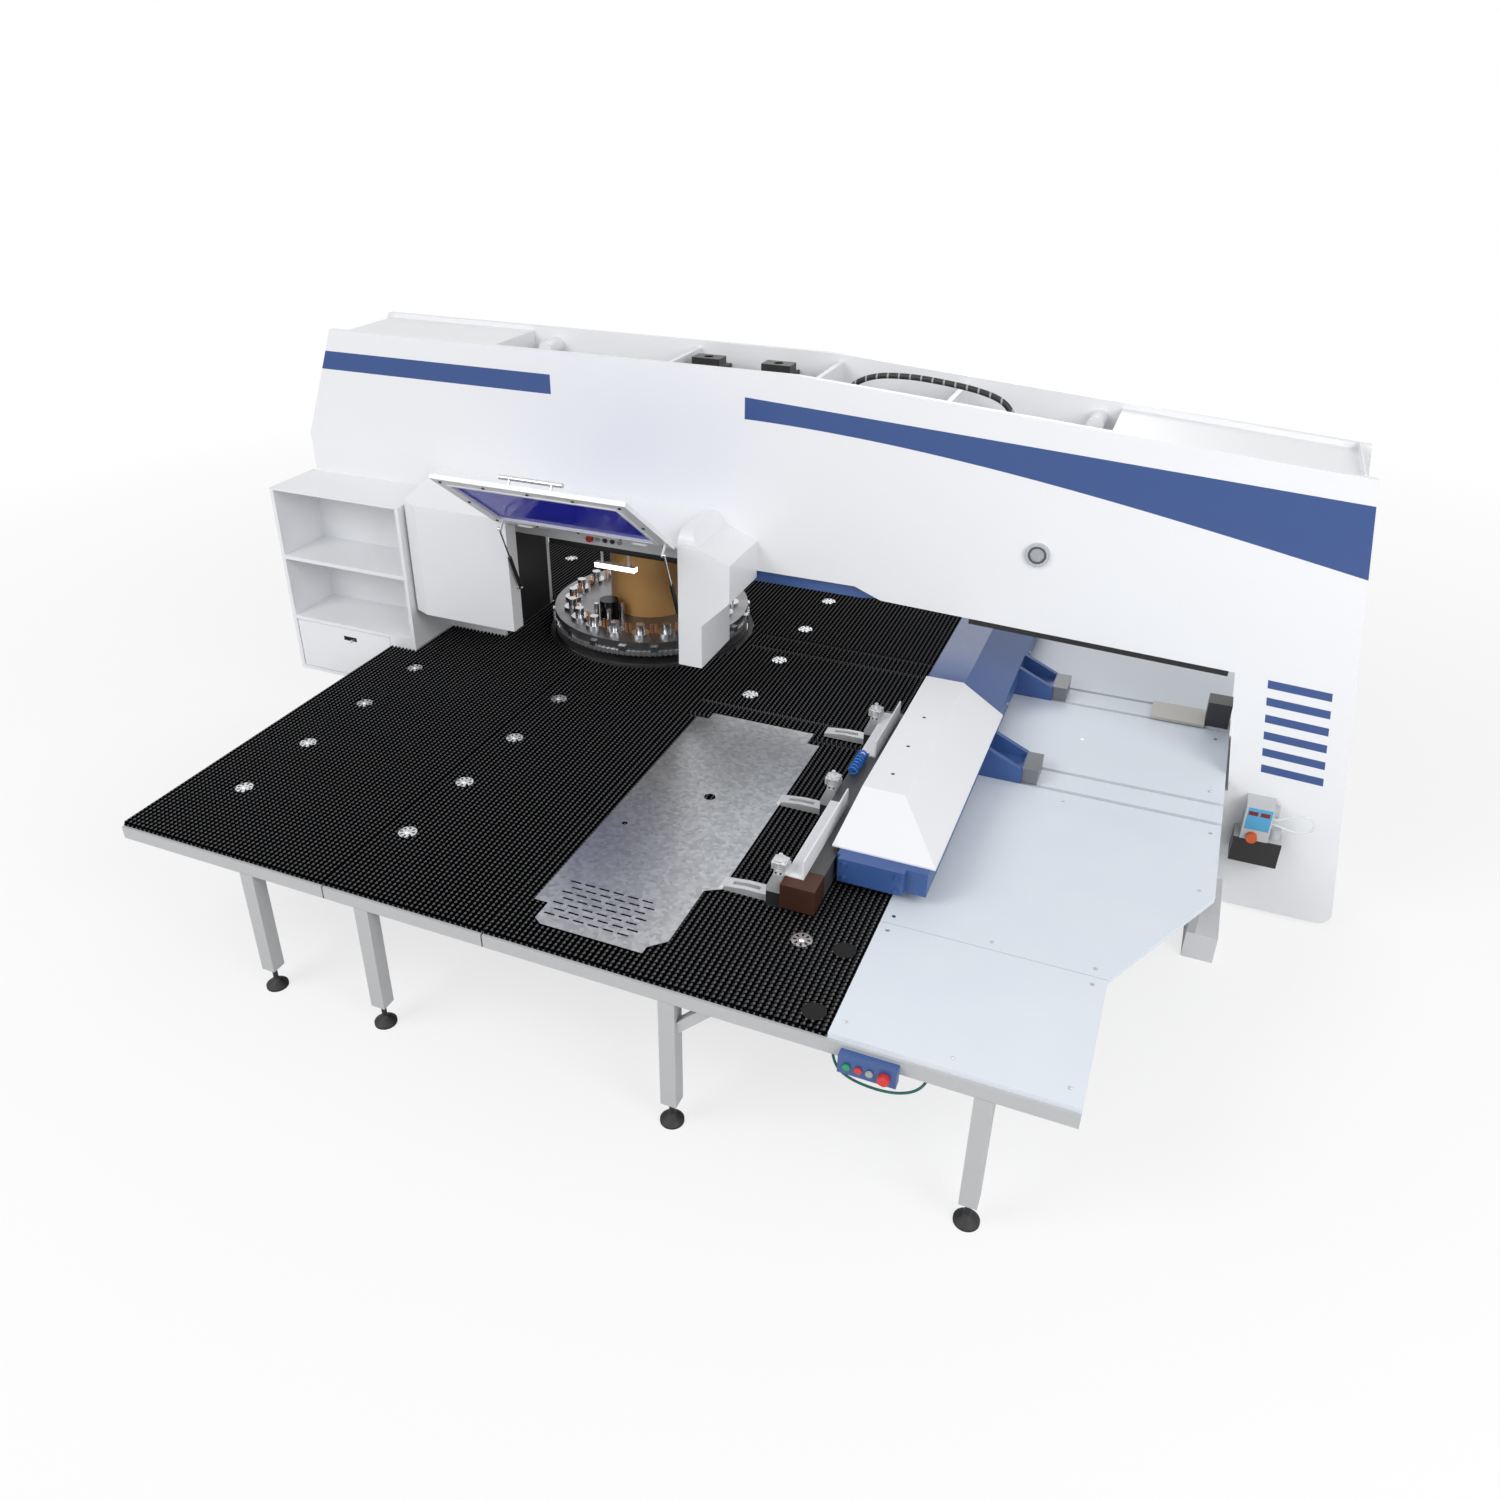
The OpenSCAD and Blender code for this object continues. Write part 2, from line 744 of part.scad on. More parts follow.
module hatch_handle() {
  mid = (hatch_left + hatch_right) / 2;
  z = hatch_len - hatch_rim / 2;
  color("silver") in_hatch() {
    peg_x(hatch_t + handle_off, z, mid - handle_w / 2, mid + handle_w / 2, handle_r);
    for (x = [mid - handle_w / 3, mid + handle_w / 3])
      peg_y(x, z, hatch_t, hatch_t + handle_off, handle_r * 0.7);
  }
}
module strut_barrels() {
  color("black") for (x = strut_x) in_strut(x) difference() {
    union() {
      translate([0, 0, eye_r]) cylinder(h = barrel_len - eye_r, r = strut_r);
      peg_x(0, 0, -eye_t / 2, eye_t / 2, eye_r * 1.4);
    }
    peg_x(0, 0, -eye_t, eye_t, pin_r + fit);
    translate([0, 0, eye_r * 2]) cylinder(h = barrel_len, r = rod_r + fit);
  }
}
module strut_rods() {
  color("silver") for (x = strut_x) in_strut(x) {
    translate([0, 0, rod_low]) cylinder(h = strut_len - rod_low, r = rod_r);
    translate([0, 0, strut_len]) peg_x(0, 0, -eye_t / 2, eye_t / 2, eye_r);
  }
}

// Control rail behind the hatch
module control_rail() {
  mid = shared(cover_right, wing_left, 0.5);
  color("whitesmoke") difference() {
    block(mid - hood_rail_w / 2, mid + hood_rail_w / 2, y_front - hood_rail_t, y_front,
      panel_z - hood_rail_h / 2, panel_z + hood_rail_h / 2);
    for (i = [0 : 4])
      peg_y(hood_button_x0 + i * hood_button_pitch, panel_z, y_front - hood_rail_t - cut, y_front + cut,
        stop_neck + fit);
  }
}
module hood_knob(i, r, rise) {
  x = hood_button_x0 + i * hood_button_pitch;
  y = y_front - hood_rail_t;
  peg_y(x, panel_z, y - rise, y - stop_travel - fit, r);
  peg_y(x, panel_z, y - stop_travel - fit * 2, y_front - fit - stop_travel, stop_neck);
}
stop_travel = 3;
module hood_stop() {
  color("red") hood_knob(0, estop_r * 0.9, estop_rise);
}
module hood_button_1() {
  color("silver") hood_knob(1, button_r, button_rise);
}
module hood_button_2() {
  color("black") hood_knob(2, button_r, button_rise);
}
module hood_button_3() {
  color("black") hood_knob(3, button_r, button_rise);
}
module hood_button_4() {
  color("dimgray") hood_knob(4, button_r, button_rise);
}
module work_lamp() {
  color("white") {
    block(lamp_x - lamp_w / 2, lamp_x + lamp_w / 2, y_front, y_front + lamp_d, lamp_z, lamp_z + lamp_h);
    for (x = [lamp_x - lamp_w / 3, lamp_x + lamp_w / 3])
      block(x - seal_t / 2, x + seal_t / 2, y_front + lamp_d / 3, y_front + lamp_d / 2,
        lamp_z + lamp_h, step_top);
  }
}

// Turret
module at_turret() {
  translate([turret_x, turret_y, 0]) children();
}
module upper_turret() {
  color("dimgray") at_turret() difference() {
    union() {
      translate([0, 0, upper_z + ring_h]) cylinder(h = upper_t - ring_h, r = turret_r - rim_drop);
      xy(upper_z, upper_z + ring_h) polygon([for (i = [0 : ring_teeth * 4 - 1])
        let (a = 360 * i / (ring_teeth * 4), r = i % 4 < 2 ? turret_r : turret_r - tooth_d)
        [r * cos(a), r * sin(a)]]);
    }
    for (i = [0 : stations - 1]) rotate([0, 0, 360 * i / stations])
      translate([station_r, 0, upper_z - cut]) cylinder(h = upper_t + cut * 2, r = guide_r);
  }
}
module tool_guides() {
  color("silver") at_turret() {
    for (i = [0 : stations - 1]) rotate([0, 0, 360 * i / stations]) translate([station_r, 0, upper_z]) {
      cylinder(h = upper_t + cut, r = guide_r - fit);
      translate([0, 0, upper_t]) cylinder(h = guide_h / 2, r = guide_r + flange_rim);
      translate([0, 0, upper_t + guide_h / 2]) cylinder(h = guide_h / 2 + punch_h, r = punch_r);
    }
    for (i = [0 : stations - 1]) rotate([0, 0, 360 * (i + 0.5) / stations])
      block(turret_r - rim_drop, turret_r - rim_drop + clamp_d, -clamp_w / 2, clamp_w / 2,
        upper_z + ring_h, upper_z + ring_h + clamp_h);
    rotate([0, 0, holder_a]) translate([station_r * 0.72, 0, upper_top]) {
      cylinder(h = holder_h, r = holder_r * 0.55);
      for (a = [45 : 90 : 315]) rotate([0, 0, a]) translate([holder_r * 0.75, 0, 0])
        cylinder(h = holder_h * 0.8, r = bolt_r);
    }
  }
}
module tool_springs() {
  color("chocolate") at_turret() for (i = [0 : stations - 1]) for (s = [-1, 1])
    rotate([0, 0, 360 * i / stations]) translate([station_r - spring_off * 0.3, s * spring_off, upper_top])
      cylinder(h = spring_h, r = spring_r);
}
module turret_hub() {
  color("tan") at_turret() translate([0, 0, upper_top]) cylinder(h = step_top - fit - upper_top, r = hub_r);
}
module lower_turret() {
  color("dimgray") at_turret() difference() {
    union() {
      translate([0, 0, lower_z]) cylinder(h = table_h - panel_drop - lower_z, r = lower_r);
      translate([0, 0, throat_floor - shaft_len]) cylinder(h = shaft_len + cut, r = shaft_r);
    }
    for (i = [0 : stations - 1]) rotate([0, 0, 360 * i / stations])
      translate([station_r, 0, table_h - panel_drop - die_r]) cylinder(h = die_r + cut, r = die_r);
  }
}
module ram_housing() {
  color("slategray") difference() {
    post(ram_x, ram_y, ram_low, step_top, ram_r);
    post(ram_x, ram_y, ram_low - cut, ram_low + striker_len + cut, striker_r + fit);
  }
}
module ram_striker() {
  color("silver") post(ram_x, ram_y, ram_low - striker_len / 3, ram_low + striker_len * 2 / 3, striker_r);
}

// Cross beam and carriage
module shoe(y) {
  color("steelblue") {
    block(beam_left, beam_right + shoe_len, y - shoe_w / 2, y + shoe_w / 2, table_h + fit, beam_low);
    for (s = [-1, 1])
      block(beam_left, beam_right + shoe_len, y + s * (rail_w + slot_w) / 2 - shoe_lip / 2,
        y + s * (rail_w + slot_w) / 2 + shoe_lip / 2, table_h - lip_depth, table_h + cut);
    block(beam_right + shoe_len - cut, beam_right + shoe_len + block_len, y - (shoe_w - gusset_t) / 2,
      y + (shoe_w - gusset_t) / 2, table_h + fit, beam_low + gusset_t);
    for (s = [-1, 1])
      xz(y + s * (shoe_w - gusset_t) / 2 - gusset_t / 2, y + s * (shoe_w - gusset_t) / 2 + gusset_t / 2)
        polygon([[beam_right, beam_low], [beam_right + shoe_len, beam_low],
          [beam_right + shoe_len, beam_low + gusset_h * 0.2], [beam_right, beam_low + gusset_h]]);
  }
}
module cross_beam() {
  color("steelblue") {
    block(beam_left, beam_right, -beam_half, beam_step_y, beam_low, beam_top - beam_step);
    xz(beam_step_y, beam_half) polygon([[beam_left, beam_low], [beam_right, beam_low],
      [beam_right, beam_top - beam_step], [ridge_right, beam_top], [beam_left, beam_top]]);
    for (y = [rail_1, rail_2]) shoe(y);
    for (share = track_shares)
      block(bar_right + fit, beam_left + cut, box_in - beam_half, beam_half - box_in,
        shared(beam_low, bar_top, share) - track_w / 2, shared(beam_low, bar_top, share) + track_w / 2);
  }
}
module beam_cover() {
  low = beam_top - beam_step;
  color("white") difference() {
    hull() {
      block(hood_skirt, hood_far, skirt_front, beam_step_y - fit, low, low + sheet_t);
      block(ridge_left, ridge_right, ridge_front, beam_step_y - fit, ridge_top - sheet_t, ridge_top);
    }
    for (share = ridge_shares)
      post(shared(ridge_left, ridge_right, 0.5), shared(ridge_front, beam_step_y, share),
        ridge_top - sheet_t, ridge_top + cut, ridge_hole_r);
  }
}
module beam_end_cap() {
  color("steelblue") {
    block(cap_left, cap_right, -beam_half - cap_t, -beam_half, beam_low, beam_top - beam_step);
    for (sx = [0.1, 0.9]) for (sz = [0.2, 0.8])
      peg_y(shared(cap_left, cap_right, sx), shared(beam_low, beam_top - beam_step, sz),
        -beam_half - cap_t * 1.3, -beam_half - cap_t, bolt_r * 0.7);
  }
}
module carriage_bar() {
  color("dimgray") {
    block(bar_left, bar_right, bar_front, bar_rear, bar_low, bar_top);
  }
}
module carriage_guards() {
  color("white") for (span = guard_shares) {
    y0 = shared(bar_front, bar_rear, span[0]);
    y1 = shared(bar_front, bar_rear, span[1]);
    block(bar_left, bar_left + guard_w, y0, y1, bar_top, bar_top + sheet_t);
    block(bar_left + guard_w - sheet_t, bar_left + guard_w, y0, y1, bar_top + sheet_t, bar_top + guard_h);
  }
}
module each_clamp() {
  for (i = [0 : 2]) translate([0, clamp_y0 + i * clamp_pitch, 0]) children();
}
module clamp_bodies() {
  jaw_z = work_z + work_t + fit + jaw_t / 2;
  color("silver") each_clamp() {
    difference() {
      xz(-clamp_bw / 2, clamp_bw / 2) polygon([[clamp_x, table_h + fit], [bar_left, table_h + fit],
        [bar_left, clamp_top], [shared(clamp_x, bar_left, 0.4), clamp_top],
        [clamp_x, shared(table_h, clamp_top, 0.6)]]);
      block(clamp_x - cut, bar_left - jaw_eye, -jaw_w / 2 - fit, jaw_w / 2 + fit,
        work_z + fit, jaw_z + jaw_t * 2);
    }
    peg_y(pivot_x, jaw_z, -clamp_bw / 2 + fit, clamp_bw / 2 - fit, pivot_r);
    block(jaw_tip, clamp_x, -jaw_w / 2, jaw_w / 2, table_h + fit, work_z - fit);
    post(bar_left - air_r, 0, clamp_top - air_r, clamp_top + air_r * 1.6, air_r);
    post(bar_left - air_r, 0, clamp_top + air_r * 1.6 - cut, clamp_top + air_r * 2.4, air_r / 3);
  }
}
module clamp_jaws() {
  z0 = work_z + work_t + fit;
  color("gainsboro") each_clamp() difference() {
    union() {
      xz(-jaw_w / 2, jaw_w / 2) polygon([[jaw_tip, z0], [pivot_x, z0], [pivot_x, z0 + jaw_t],
        [shared(jaw_tip, pivot_x, 0.45), z0 + jaw_t], [jaw_tip, z0 + jaw_t * 0.45]]);
      peg_y(pivot_x, z0 + jaw_t / 2, -jaw_w / 2, jaw_w / 2, jaw_t / 2);
    }
    peg_y(pivot_x, z0 + jaw_t / 2, -jaw_w, jaw_w, pivot_r + fit);
    block(shared(jaw_tip, pivot_x, 0.2), shared(jaw_tip, pivot_x, 0.7), -jaw_w / 6, jaw_w / 6,
      z0 - cut, z0 + jaw_t + cut);
  }
}
module air_coil() {
  y = clamp_y0 + clamp_pitch + clamp_bw;
  color("dodgerblue") peg_y(bar_left + air_r, bar_top + air_r, y, y + air_len, air_r);
}
module workpiece() {
  color("lightgray") difference() {
    xy(work_z, work_z + work_t) polygon([[work_x0, work_y0 + notch * 2],
      [work_x0 + notch, work_y0 + notch * 2],
      [work_x0 + notch, work_y0 + notch * 0.4], [work_x0 + notch * 1.6, work_y0],
      [work_x1 - notch * 2, work_y0], [work_x1 - notch * 2, work_y0 + notch * 0.6],
      [work_x1 - notch, work_y0 + notch * 1.6], [work_x1 - notch, work_y0 + notch * 7],
      [work_x1, work_y0 + notch * 7.6], [work_x1, work_y1 - notch * 1.6],
      [work_x1 - notch, work_y1 - notch * 1.6],
      [work_x1 - notch, work_y1], [work_x0 + notch, work_y1], [work_x0 + notch, work_y1 - notch],
      [work_x0, work_y1 - notch]]);
    post(hole_at[0], hole_at[1], work_z - cut, work_z + cut, hole_r);
    post(small_hole_at[0], small_hole_at[1], work_z - cut, work_z + cut, small_hole_r);
    for (i = [0 : slot_cols - 1]) for (j = [0 : slot_rows - 1])
      translate([slot_x0 + i * (slot_len + slot_gap * 2) + (j % 2) * slot_len / 2,
        slot_y0 + j * slot_gap * 4, work_z - cut]) cube([slot_len, slot_gap, cut * 2]);
  }
}

// Tables
function comb(x0, x1) =
  let (n = floor((x1 - x0) / row_pitch), z0 = brush_z, z1 = brush_z + brush_base)
  concat([[x0, z0], [x1, z0], [x1, z1]],
    [for (i = [n - 1 : -1 : 0])
      for (p = [[bristle_w, z1], [bristle_tip, table_h], [-bristle_tip, table_h], [-bristle_w, z1]])
        [x0 + (i + 0.5) * (x1 - x0) / n + p[0] / 2, p[1]]],
    [[x0, z1]]);
module ball_holes() {
  for (i = [0 : 3]) for (j = [0 : 10]) if (is_ball(i, j))
    post(ball_x0 + i * ball_pitch_x, ball_y0 + j * ball_pitch_y, brush_z - cut, table_h + cut, ball_r + fit);
}
function is_ball(i, j) = i < 2 ? (j < 4 || j > 6) : i == 2 ? (j > 3 && j < 8) : (j == 0 || j == 10);
module field(x0, x1, y0, y1) {
  xz(y0, y1) polygon(comb(x0 + seam_gap / 2, x1 - seam_gap / 2));
}
front_y = trim_t - table_front;
back_y = table_rear - trim_t;
module left_brush() {
  color("black") difference() {
    field(table_left, seam_1, front_y, back_y);
    block(table_left - cut, throat_left + box_in, y_front - box_in, y_rear + box_in,
      brush_z - cut, table_h + cut);
    block(table_left - cut, max(cab_right, table_left) + box_in, -hood_front - box_in, y_front,
      brush_z - cut, table_h + cut);
    at_turret() post(0, 0, brush_z - cut, table_h + cut, well_r);
    ball_holes();
  }
}
module middle_brush() {
  color("black") difference() {
    field(seam_1, seam_2, front_y, back_y);
    at_turret() post(0, 0, brush_z - cut, table_h + cut, well_r);
    ball_holes();
  }
}
slot_edge = rail_w / 2 + slot_w;
module right_brush() {
  color("black") difference() {
    field(seam_2, sheet_left, front_y, back_y);
    for (y = [rail_1, rail_2]) for (s = [-1, 1])
      block(rail_left, sheet_left + cut, y + s * (slot_edge - slot_w / 2) - slot_w / 2,
        y + s * (slot_edge - slot_w / 2) + slot_w / 2, brush_z - cut, table_h + cut);
    at_turret() post(0, 0, brush_z - cut, table_h + cut, well_r);
    ball_holes();
    for (y = [ball_y0, ball_y0 - ball_pitch_y * 0.8])
      post(disc_x, y, brush_z - cut, table_h + cut, disc_r + fit);
  }
}
module guide_rails() {
  color("lightsteelblue") for (y = [rail_1, rail_2])
    block(sheet_left, side_right, y - rail_w / 2, y + rail_w / 2, panel_z0, panel_z1);
}
module cover_panels() {
  gap = seam_gap / 2;
  color("lightsteelblue") {
    block(sheet_left + gap, table_right, front_y, joint_y - gap, panel_z0, panel_z1);
    xy(panel_z0, panel_z1) polygon([[sheet_left + gap, joint_y + gap], [table_right, joint_y + gap],
      [side_right, diag_y], [side_right, rail_1 - slot_edge], [sheet_left + gap, rail_1 - slot_edge]]);
    block(sheet_left + gap, side_right, rail_1 + slot_edge, rail_2 - slot_edge, panel_z0, panel_z1);
    block(sheet_left + gap, side_right, rail_2 + slot_edge, -joint_y - gap, panel_z0, panel_z1);
    block(sheet_left + gap, table_right, gap - joint_y, back_y, panel_z0, panel_z1);
  }
}
tube_z = brush_z - tube_h;
well_front = turret_y - well_r - box_in;
well_back = turret_y + well_r + box_in;
module tube_x(x0, x1, y) {
  block(x0 + fit, x1 - fit, y - tube_w / 2, y + tube_w / 2, tube_z, brush_z);
}
module tube_y(x, y0, y1) {
  block(x - tube_w / 2, x + tube_w / 2, y0 + fit, y1 - fit, tube_z, brush_z);
}
module leg(x, y) {
  block(x - leg_w / 2, x + leg_w / 2, y - leg_w / 2, y + leg_w / 2, leg_foot, tube_z - fit);
}
module table_frames() {
  near = tube_w / 2 - table_front;
  far = table_rear - tube_w / 2;
  brace_x = leg_xs[2] + leg_w / 2 + fit;
  color("whitesmoke") {
    for (y = [near, far]) tube_x(table_left, table_right, y);
    for (x = [seam_2, sheet_left]) tube_y(x, near + tube_w / 2, far - tube_w / 2);
    tube_y(seam_1, near + tube_w / 2, well_front);
    tube_y(seam_1, well_back, far - tube_w / 2);
    tube_y(table_left + tube_w / 2, near + tube_w / 2, -hood_front - box_in - tube_w);
    tube_x(table_left, seam_1 - tube_w / 2, -hood_front - box_in - tube_w / 2);
    tube_y(table_left + tube_w / 2, well_back + tube_w, far - tube_w / 2);
    tube_x(table_left, seam_1 - tube_w / 2, well_back + tube_w / 2);
    for (s = [0, 1]) mirror([0, s, 0]) {
      tube_y(side_right - tube_w / 2, diag_y, y_front);
      tube_x(sheet_left + tube_w / 2, table_right, joint_y);
      tube_x(sheet_left + tube_w / 2, side_right - tube_w, diag_y + tube_w / 2);
    }
    tube_y(table_right - tube_w / 2, near + tube_w / 2, joint_y - tube_w / 2);
    tube_y(table_right - tube_w / 2, -joint_y + tube_w / 2, far - tube_w / 2);
    for (x = leg_xs) for (y = [near, far]) leg(x, y);
    for (s = [0, 1]) mirror([0, s, 0])
      block(foot_x, side_right, -foot_front, leg_w - foot_front, foot_h + fit, tube_z - fit);
    for (y = [near, far]) xz(y - brace_t / 2, y + brace_t / 2) polygon([[brace_x, tube_z - brace_run],
      [brace_x + brace_run, tube_z - fit], [brace_x + brace_run - brace_t * 1.4, tube_z - fit],
      [brace_x, tube_z - brace_run + brace_t * 1.4]]);
  }
}
module levelling_feet() {
  color("black") for (x = leg_xs) for (y = [tube_w / 2 - table_front, table_rear - tube_w / 2])
    translate([x, y, 0]) rotate_extrude() polygon([[0, 0], [pad_r, 0], [pad_r, pad_h / 2], [pad_top_r, pad_h],
      [stem_r * 1.6, pad_h * 1.6], [stem_r, pad_h * 2], [stem_r, leg_foot], [0, leg_foot]]);
}
module ball_units() {
  color("silver") for (i = [0 : 3]) for (j = [0 : 10]) if (is_ball(i, j))
    translate([ball_x0 + i * ball_pitch_x, ball_y0 + j * ball_pitch_y, 0]) {
      post(0, 0, brush_z, table_h - ball_rise, ball_r);
      translate([0, 0, table_h - ball_dome]) sphere(r = ball_dome);
    }
  color("black") for (y = [ball_y0, ball_y0 - ball_pitch_y * 0.8])
    post(disc_x, y, brush_z, table_h, disc_r);
}
module drive_motor() {
  y = motor_y;
  color("black") {
    block(motor_x - plate_w, motor_x, y - plate_d / 2, y + plate_d / 2, panel_z1, panel_z1 + plate_h);
    block(motor_x, motor_x + motor_w, y - motor_d / 2, y + motor_d / 2, panel_z1, panel_z1 + motor_h);
  }
}

// Button box
box_z = brush_z - box_drop;
box_y = -table_front;
module button_box() {
  color("steelblue") difference() {
    block(box_x, box_x + box_w, box_y - box_d, box_y, box_z - box_h, box_z);
    for (share = box_shares)
      peg_y(box_x + box_w * share, box_z - box_h / 2, box_y - box_d - cut, box_y - box_d + button_sink,
        stop_neck + fit);
  }
}
module box_knob(i, r, rise) {
  x = box_x + box_w * box_shares[i];
  z = box_z - box_h / 2;
  y = box_y - box_d;
  peg_y(x, z, y - rise, y - stop_travel - fit, r);
  peg_y(x, z, y - stop_travel - fit * 2, y + button_sink - stop_travel - fit, stop_neck);
}
module box_stop() {
  color("red") box_knob(3, estop_r, estop_rise);
}
module box_button_1() {
  color("green") box_knob(0, button_r, button_rise);
}
module box_button_2() {
  color("red") box_knob(1, button_r, button_rise);
}
module box_button_3() {
  color("gray") box_knob(2, button_r, button_rise);
}
module box_cord() {
  color("darkgreen") hose(cord_pts, cord_r, cord_sides);
}

// Lubricator
module lubricator() {
  color("lightgray") {
    block(lube_x, lube_x + lube_w, y_front - lube_d, y_front, lube_z, lube_z + lube_h);
    block(lube_x - lube_w * 0.2, lube_x - lube_w * 0.2 + tank_w, y_front - tank_d, y_front,
      lube_z - tank_h, lube_z);
    peg_y(lube_x + lube_w * 0.4, lube_z + lube_h * 0.12, y_front - lube_d - knob_h, y_front - lube_d, knob_r);
    peg_x(y_front - gauge_r, lube_z + lube_h * 0.7, lube_x + lube_w, lube_x + lube_w + gauge_t, gauge_r);
    post(lube_x + lube_w + filler_r, y_front - tank_d / 2, lube_z, lube_z + filler_r * 2, filler_r);
  }
}
module lube_tube() {
  color("white") hose(tube_pts, tube_r, cord_sides);
}

front_plate();
rear_plate();
frame_columns();
upper_web();
top_covers();
head_lip();
trough_fittings();
pressure_hose();
viewing_port();
cable_track();
tool_cabinet();
cabinet_door();
cabinet_lock();
hood_shell();
hood_wing();
hatch_frame();
hatch_window();
hatch_handle();
strut_barrels();
strut_rods();
control_rail();
hood_stop();
hood_button_1();
hood_button_2();
hood_button_3();
hood_button_4();
work_lamp();
upper_turret();
tool_guides();
tool_springs();
turret_hub();
lower_turret();
ram_housing();
ram_striker();
cross_beam();
beam_cover();
beam_end_cap();
carriage_bar();
carriage_guards();
clamp_bodies();
clamp_jaws();
air_coil();
workpiece();
left_brush();
middle_brush();
right_brush();
table_frames();
levelling_feet();
cover_panels();
guide_rails();
ball_units();
drive_motor();
button_box();
box_stop();
box_button_1();
box_button_2();
box_button_3();
box_cord();
lubricator();
lube_tube();
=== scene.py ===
# %% [markdown]
# # Turret punch press
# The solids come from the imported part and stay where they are. This lesson gives them their finishes, adds
# the pieces that are easier to model by hand, such as spring coils and screws, and sets up the light and
# the camera.

import math

import bpy
from mathutils import Matrix, Vector


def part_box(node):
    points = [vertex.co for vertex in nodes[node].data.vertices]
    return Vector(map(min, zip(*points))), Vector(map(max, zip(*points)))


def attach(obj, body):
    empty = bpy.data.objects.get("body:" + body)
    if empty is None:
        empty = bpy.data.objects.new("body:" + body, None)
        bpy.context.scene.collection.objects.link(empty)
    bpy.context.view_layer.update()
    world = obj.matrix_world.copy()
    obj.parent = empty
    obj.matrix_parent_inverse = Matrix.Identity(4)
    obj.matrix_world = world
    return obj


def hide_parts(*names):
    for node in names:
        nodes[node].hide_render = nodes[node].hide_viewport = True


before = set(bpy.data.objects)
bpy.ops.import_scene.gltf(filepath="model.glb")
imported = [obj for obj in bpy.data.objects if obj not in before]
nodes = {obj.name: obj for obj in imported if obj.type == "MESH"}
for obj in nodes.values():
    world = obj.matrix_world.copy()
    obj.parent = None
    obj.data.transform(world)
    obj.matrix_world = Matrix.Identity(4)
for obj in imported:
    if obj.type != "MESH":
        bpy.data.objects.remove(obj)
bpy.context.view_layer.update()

# %% [markdown]
# The camera stands where the photograph was taken: to the right of the machine, above head height, with a
# wide lens. The lens shift replaces a crop, so the vertical lines keep the photograph's lean.

# %% Camera
CAMERA_AT = Vector((1.892, -5.477, 3.638))
TURN, TILT = math.radians(23.194), math.radians(28.995)
LENS_MM, SENSOR_MM, SHIFT_X, SHIFT_Y = 28.265, 36, 0.0254, -0.0277
FAR_M = 1000
ahead = Vector((-math.sin(TURN) * math.cos(TILT), math.cos(TURN) * math.cos(TILT), -math.sin(TILT)))
bpy.ops.object.select_all(action="DESELECT")
bpy.ops.object.camera_add(location=CAMERA_AT, rotation=ahead.to_track_quat("-Z", "Y").to_euler())
camera = bpy.context.object
camera.data.lens, camera.data.sensor_width = LENS_MM, SENSOR_MM
camera.data.shift_x, camera.data.shift_y = SHIFT_X, SHIFT_Y
camera.data.clip_end = FAR_M
bpy.context.scene.camera = camera
bpy.context.scene.view_settings.view_transform = "Standard"
print("camera at", tuple(camera.location))

# %% [markdown]
# A material's numbers are worked out along the surface by nodes. Wrapping a socket in a small class lets us
# write them as sums, so that a stripe reads as "higher than this and lower than that".


# %% A socket that can be used in sums
class Socket:
    def __init__(self, tree, out=None):
        self.tree, self.out = tree, out

    def node(self, kind, settings=None, inputs=None, out=0):
        made = self.tree.nodes.new(kind)
        for key, value in (settings or {}).items():
            setattr(made, key, value)
        for key, value in (inputs or {}).items():
            if isinstance(value, Socket):
                self.tree.links.new(value.out, made.inputs[key])
            else:
                made.inputs[key].default_value = value
        return Socket(self.tree, made.outputs[out])

    def math(self, operation, a, b=0.0):
        return self.node("ShaderNodeMath", {"operation": operation}, {0: a, 1: b})

    def __add__(self, other):
        return self.math("ADD", self, other)

    def __radd__(self, other):
        return self.math("ADD", other, self)

    def __sub__(self, other):
        return self.math("SUBTRACT", self, other)

    def __rsub__(self, other):
        return self.math("SUBTRACT", other, self)

    def __mul__(self, other):
        return self.math("MULTIPLY", self, other)

    def __rmul__(self, other):
        return self.math("MULTIPLY", other, self)

    def __truediv__(self, other):
        return self.math("DIVIDE", self, other)

    def __gt__(self, other):
        return self.math("GREATER_THAN", self, other)

    def __lt__(self, other):
        return self.math("LESS_THAN", self, other)

    def within(self, low, high):
        return (self > low) * (self < high)

    def fract(self):
        return self.math("FRACT", self)

    def mixed(self, low, high):
        return self.node(
            "ShaderNodeMix", {"data_type": "RGBA"}, {0: self, 6: low, 7: high}, out=2
        )


# %% [markdown]
# Every finish starts from one shader with a base colour, a roughness and a metal share. A little noise
# breaks up the roughness, as on real paint and steel, where hands and dust never leave a face quite even.
# A detail, where one is given, works out the colour from the place on the piece.

# %% A finish with its usual unevenness
COAT_ROUGH, FINE_GRAIN, BUMP_M, SKIN = 0.12, 12, 0.001, 0.001


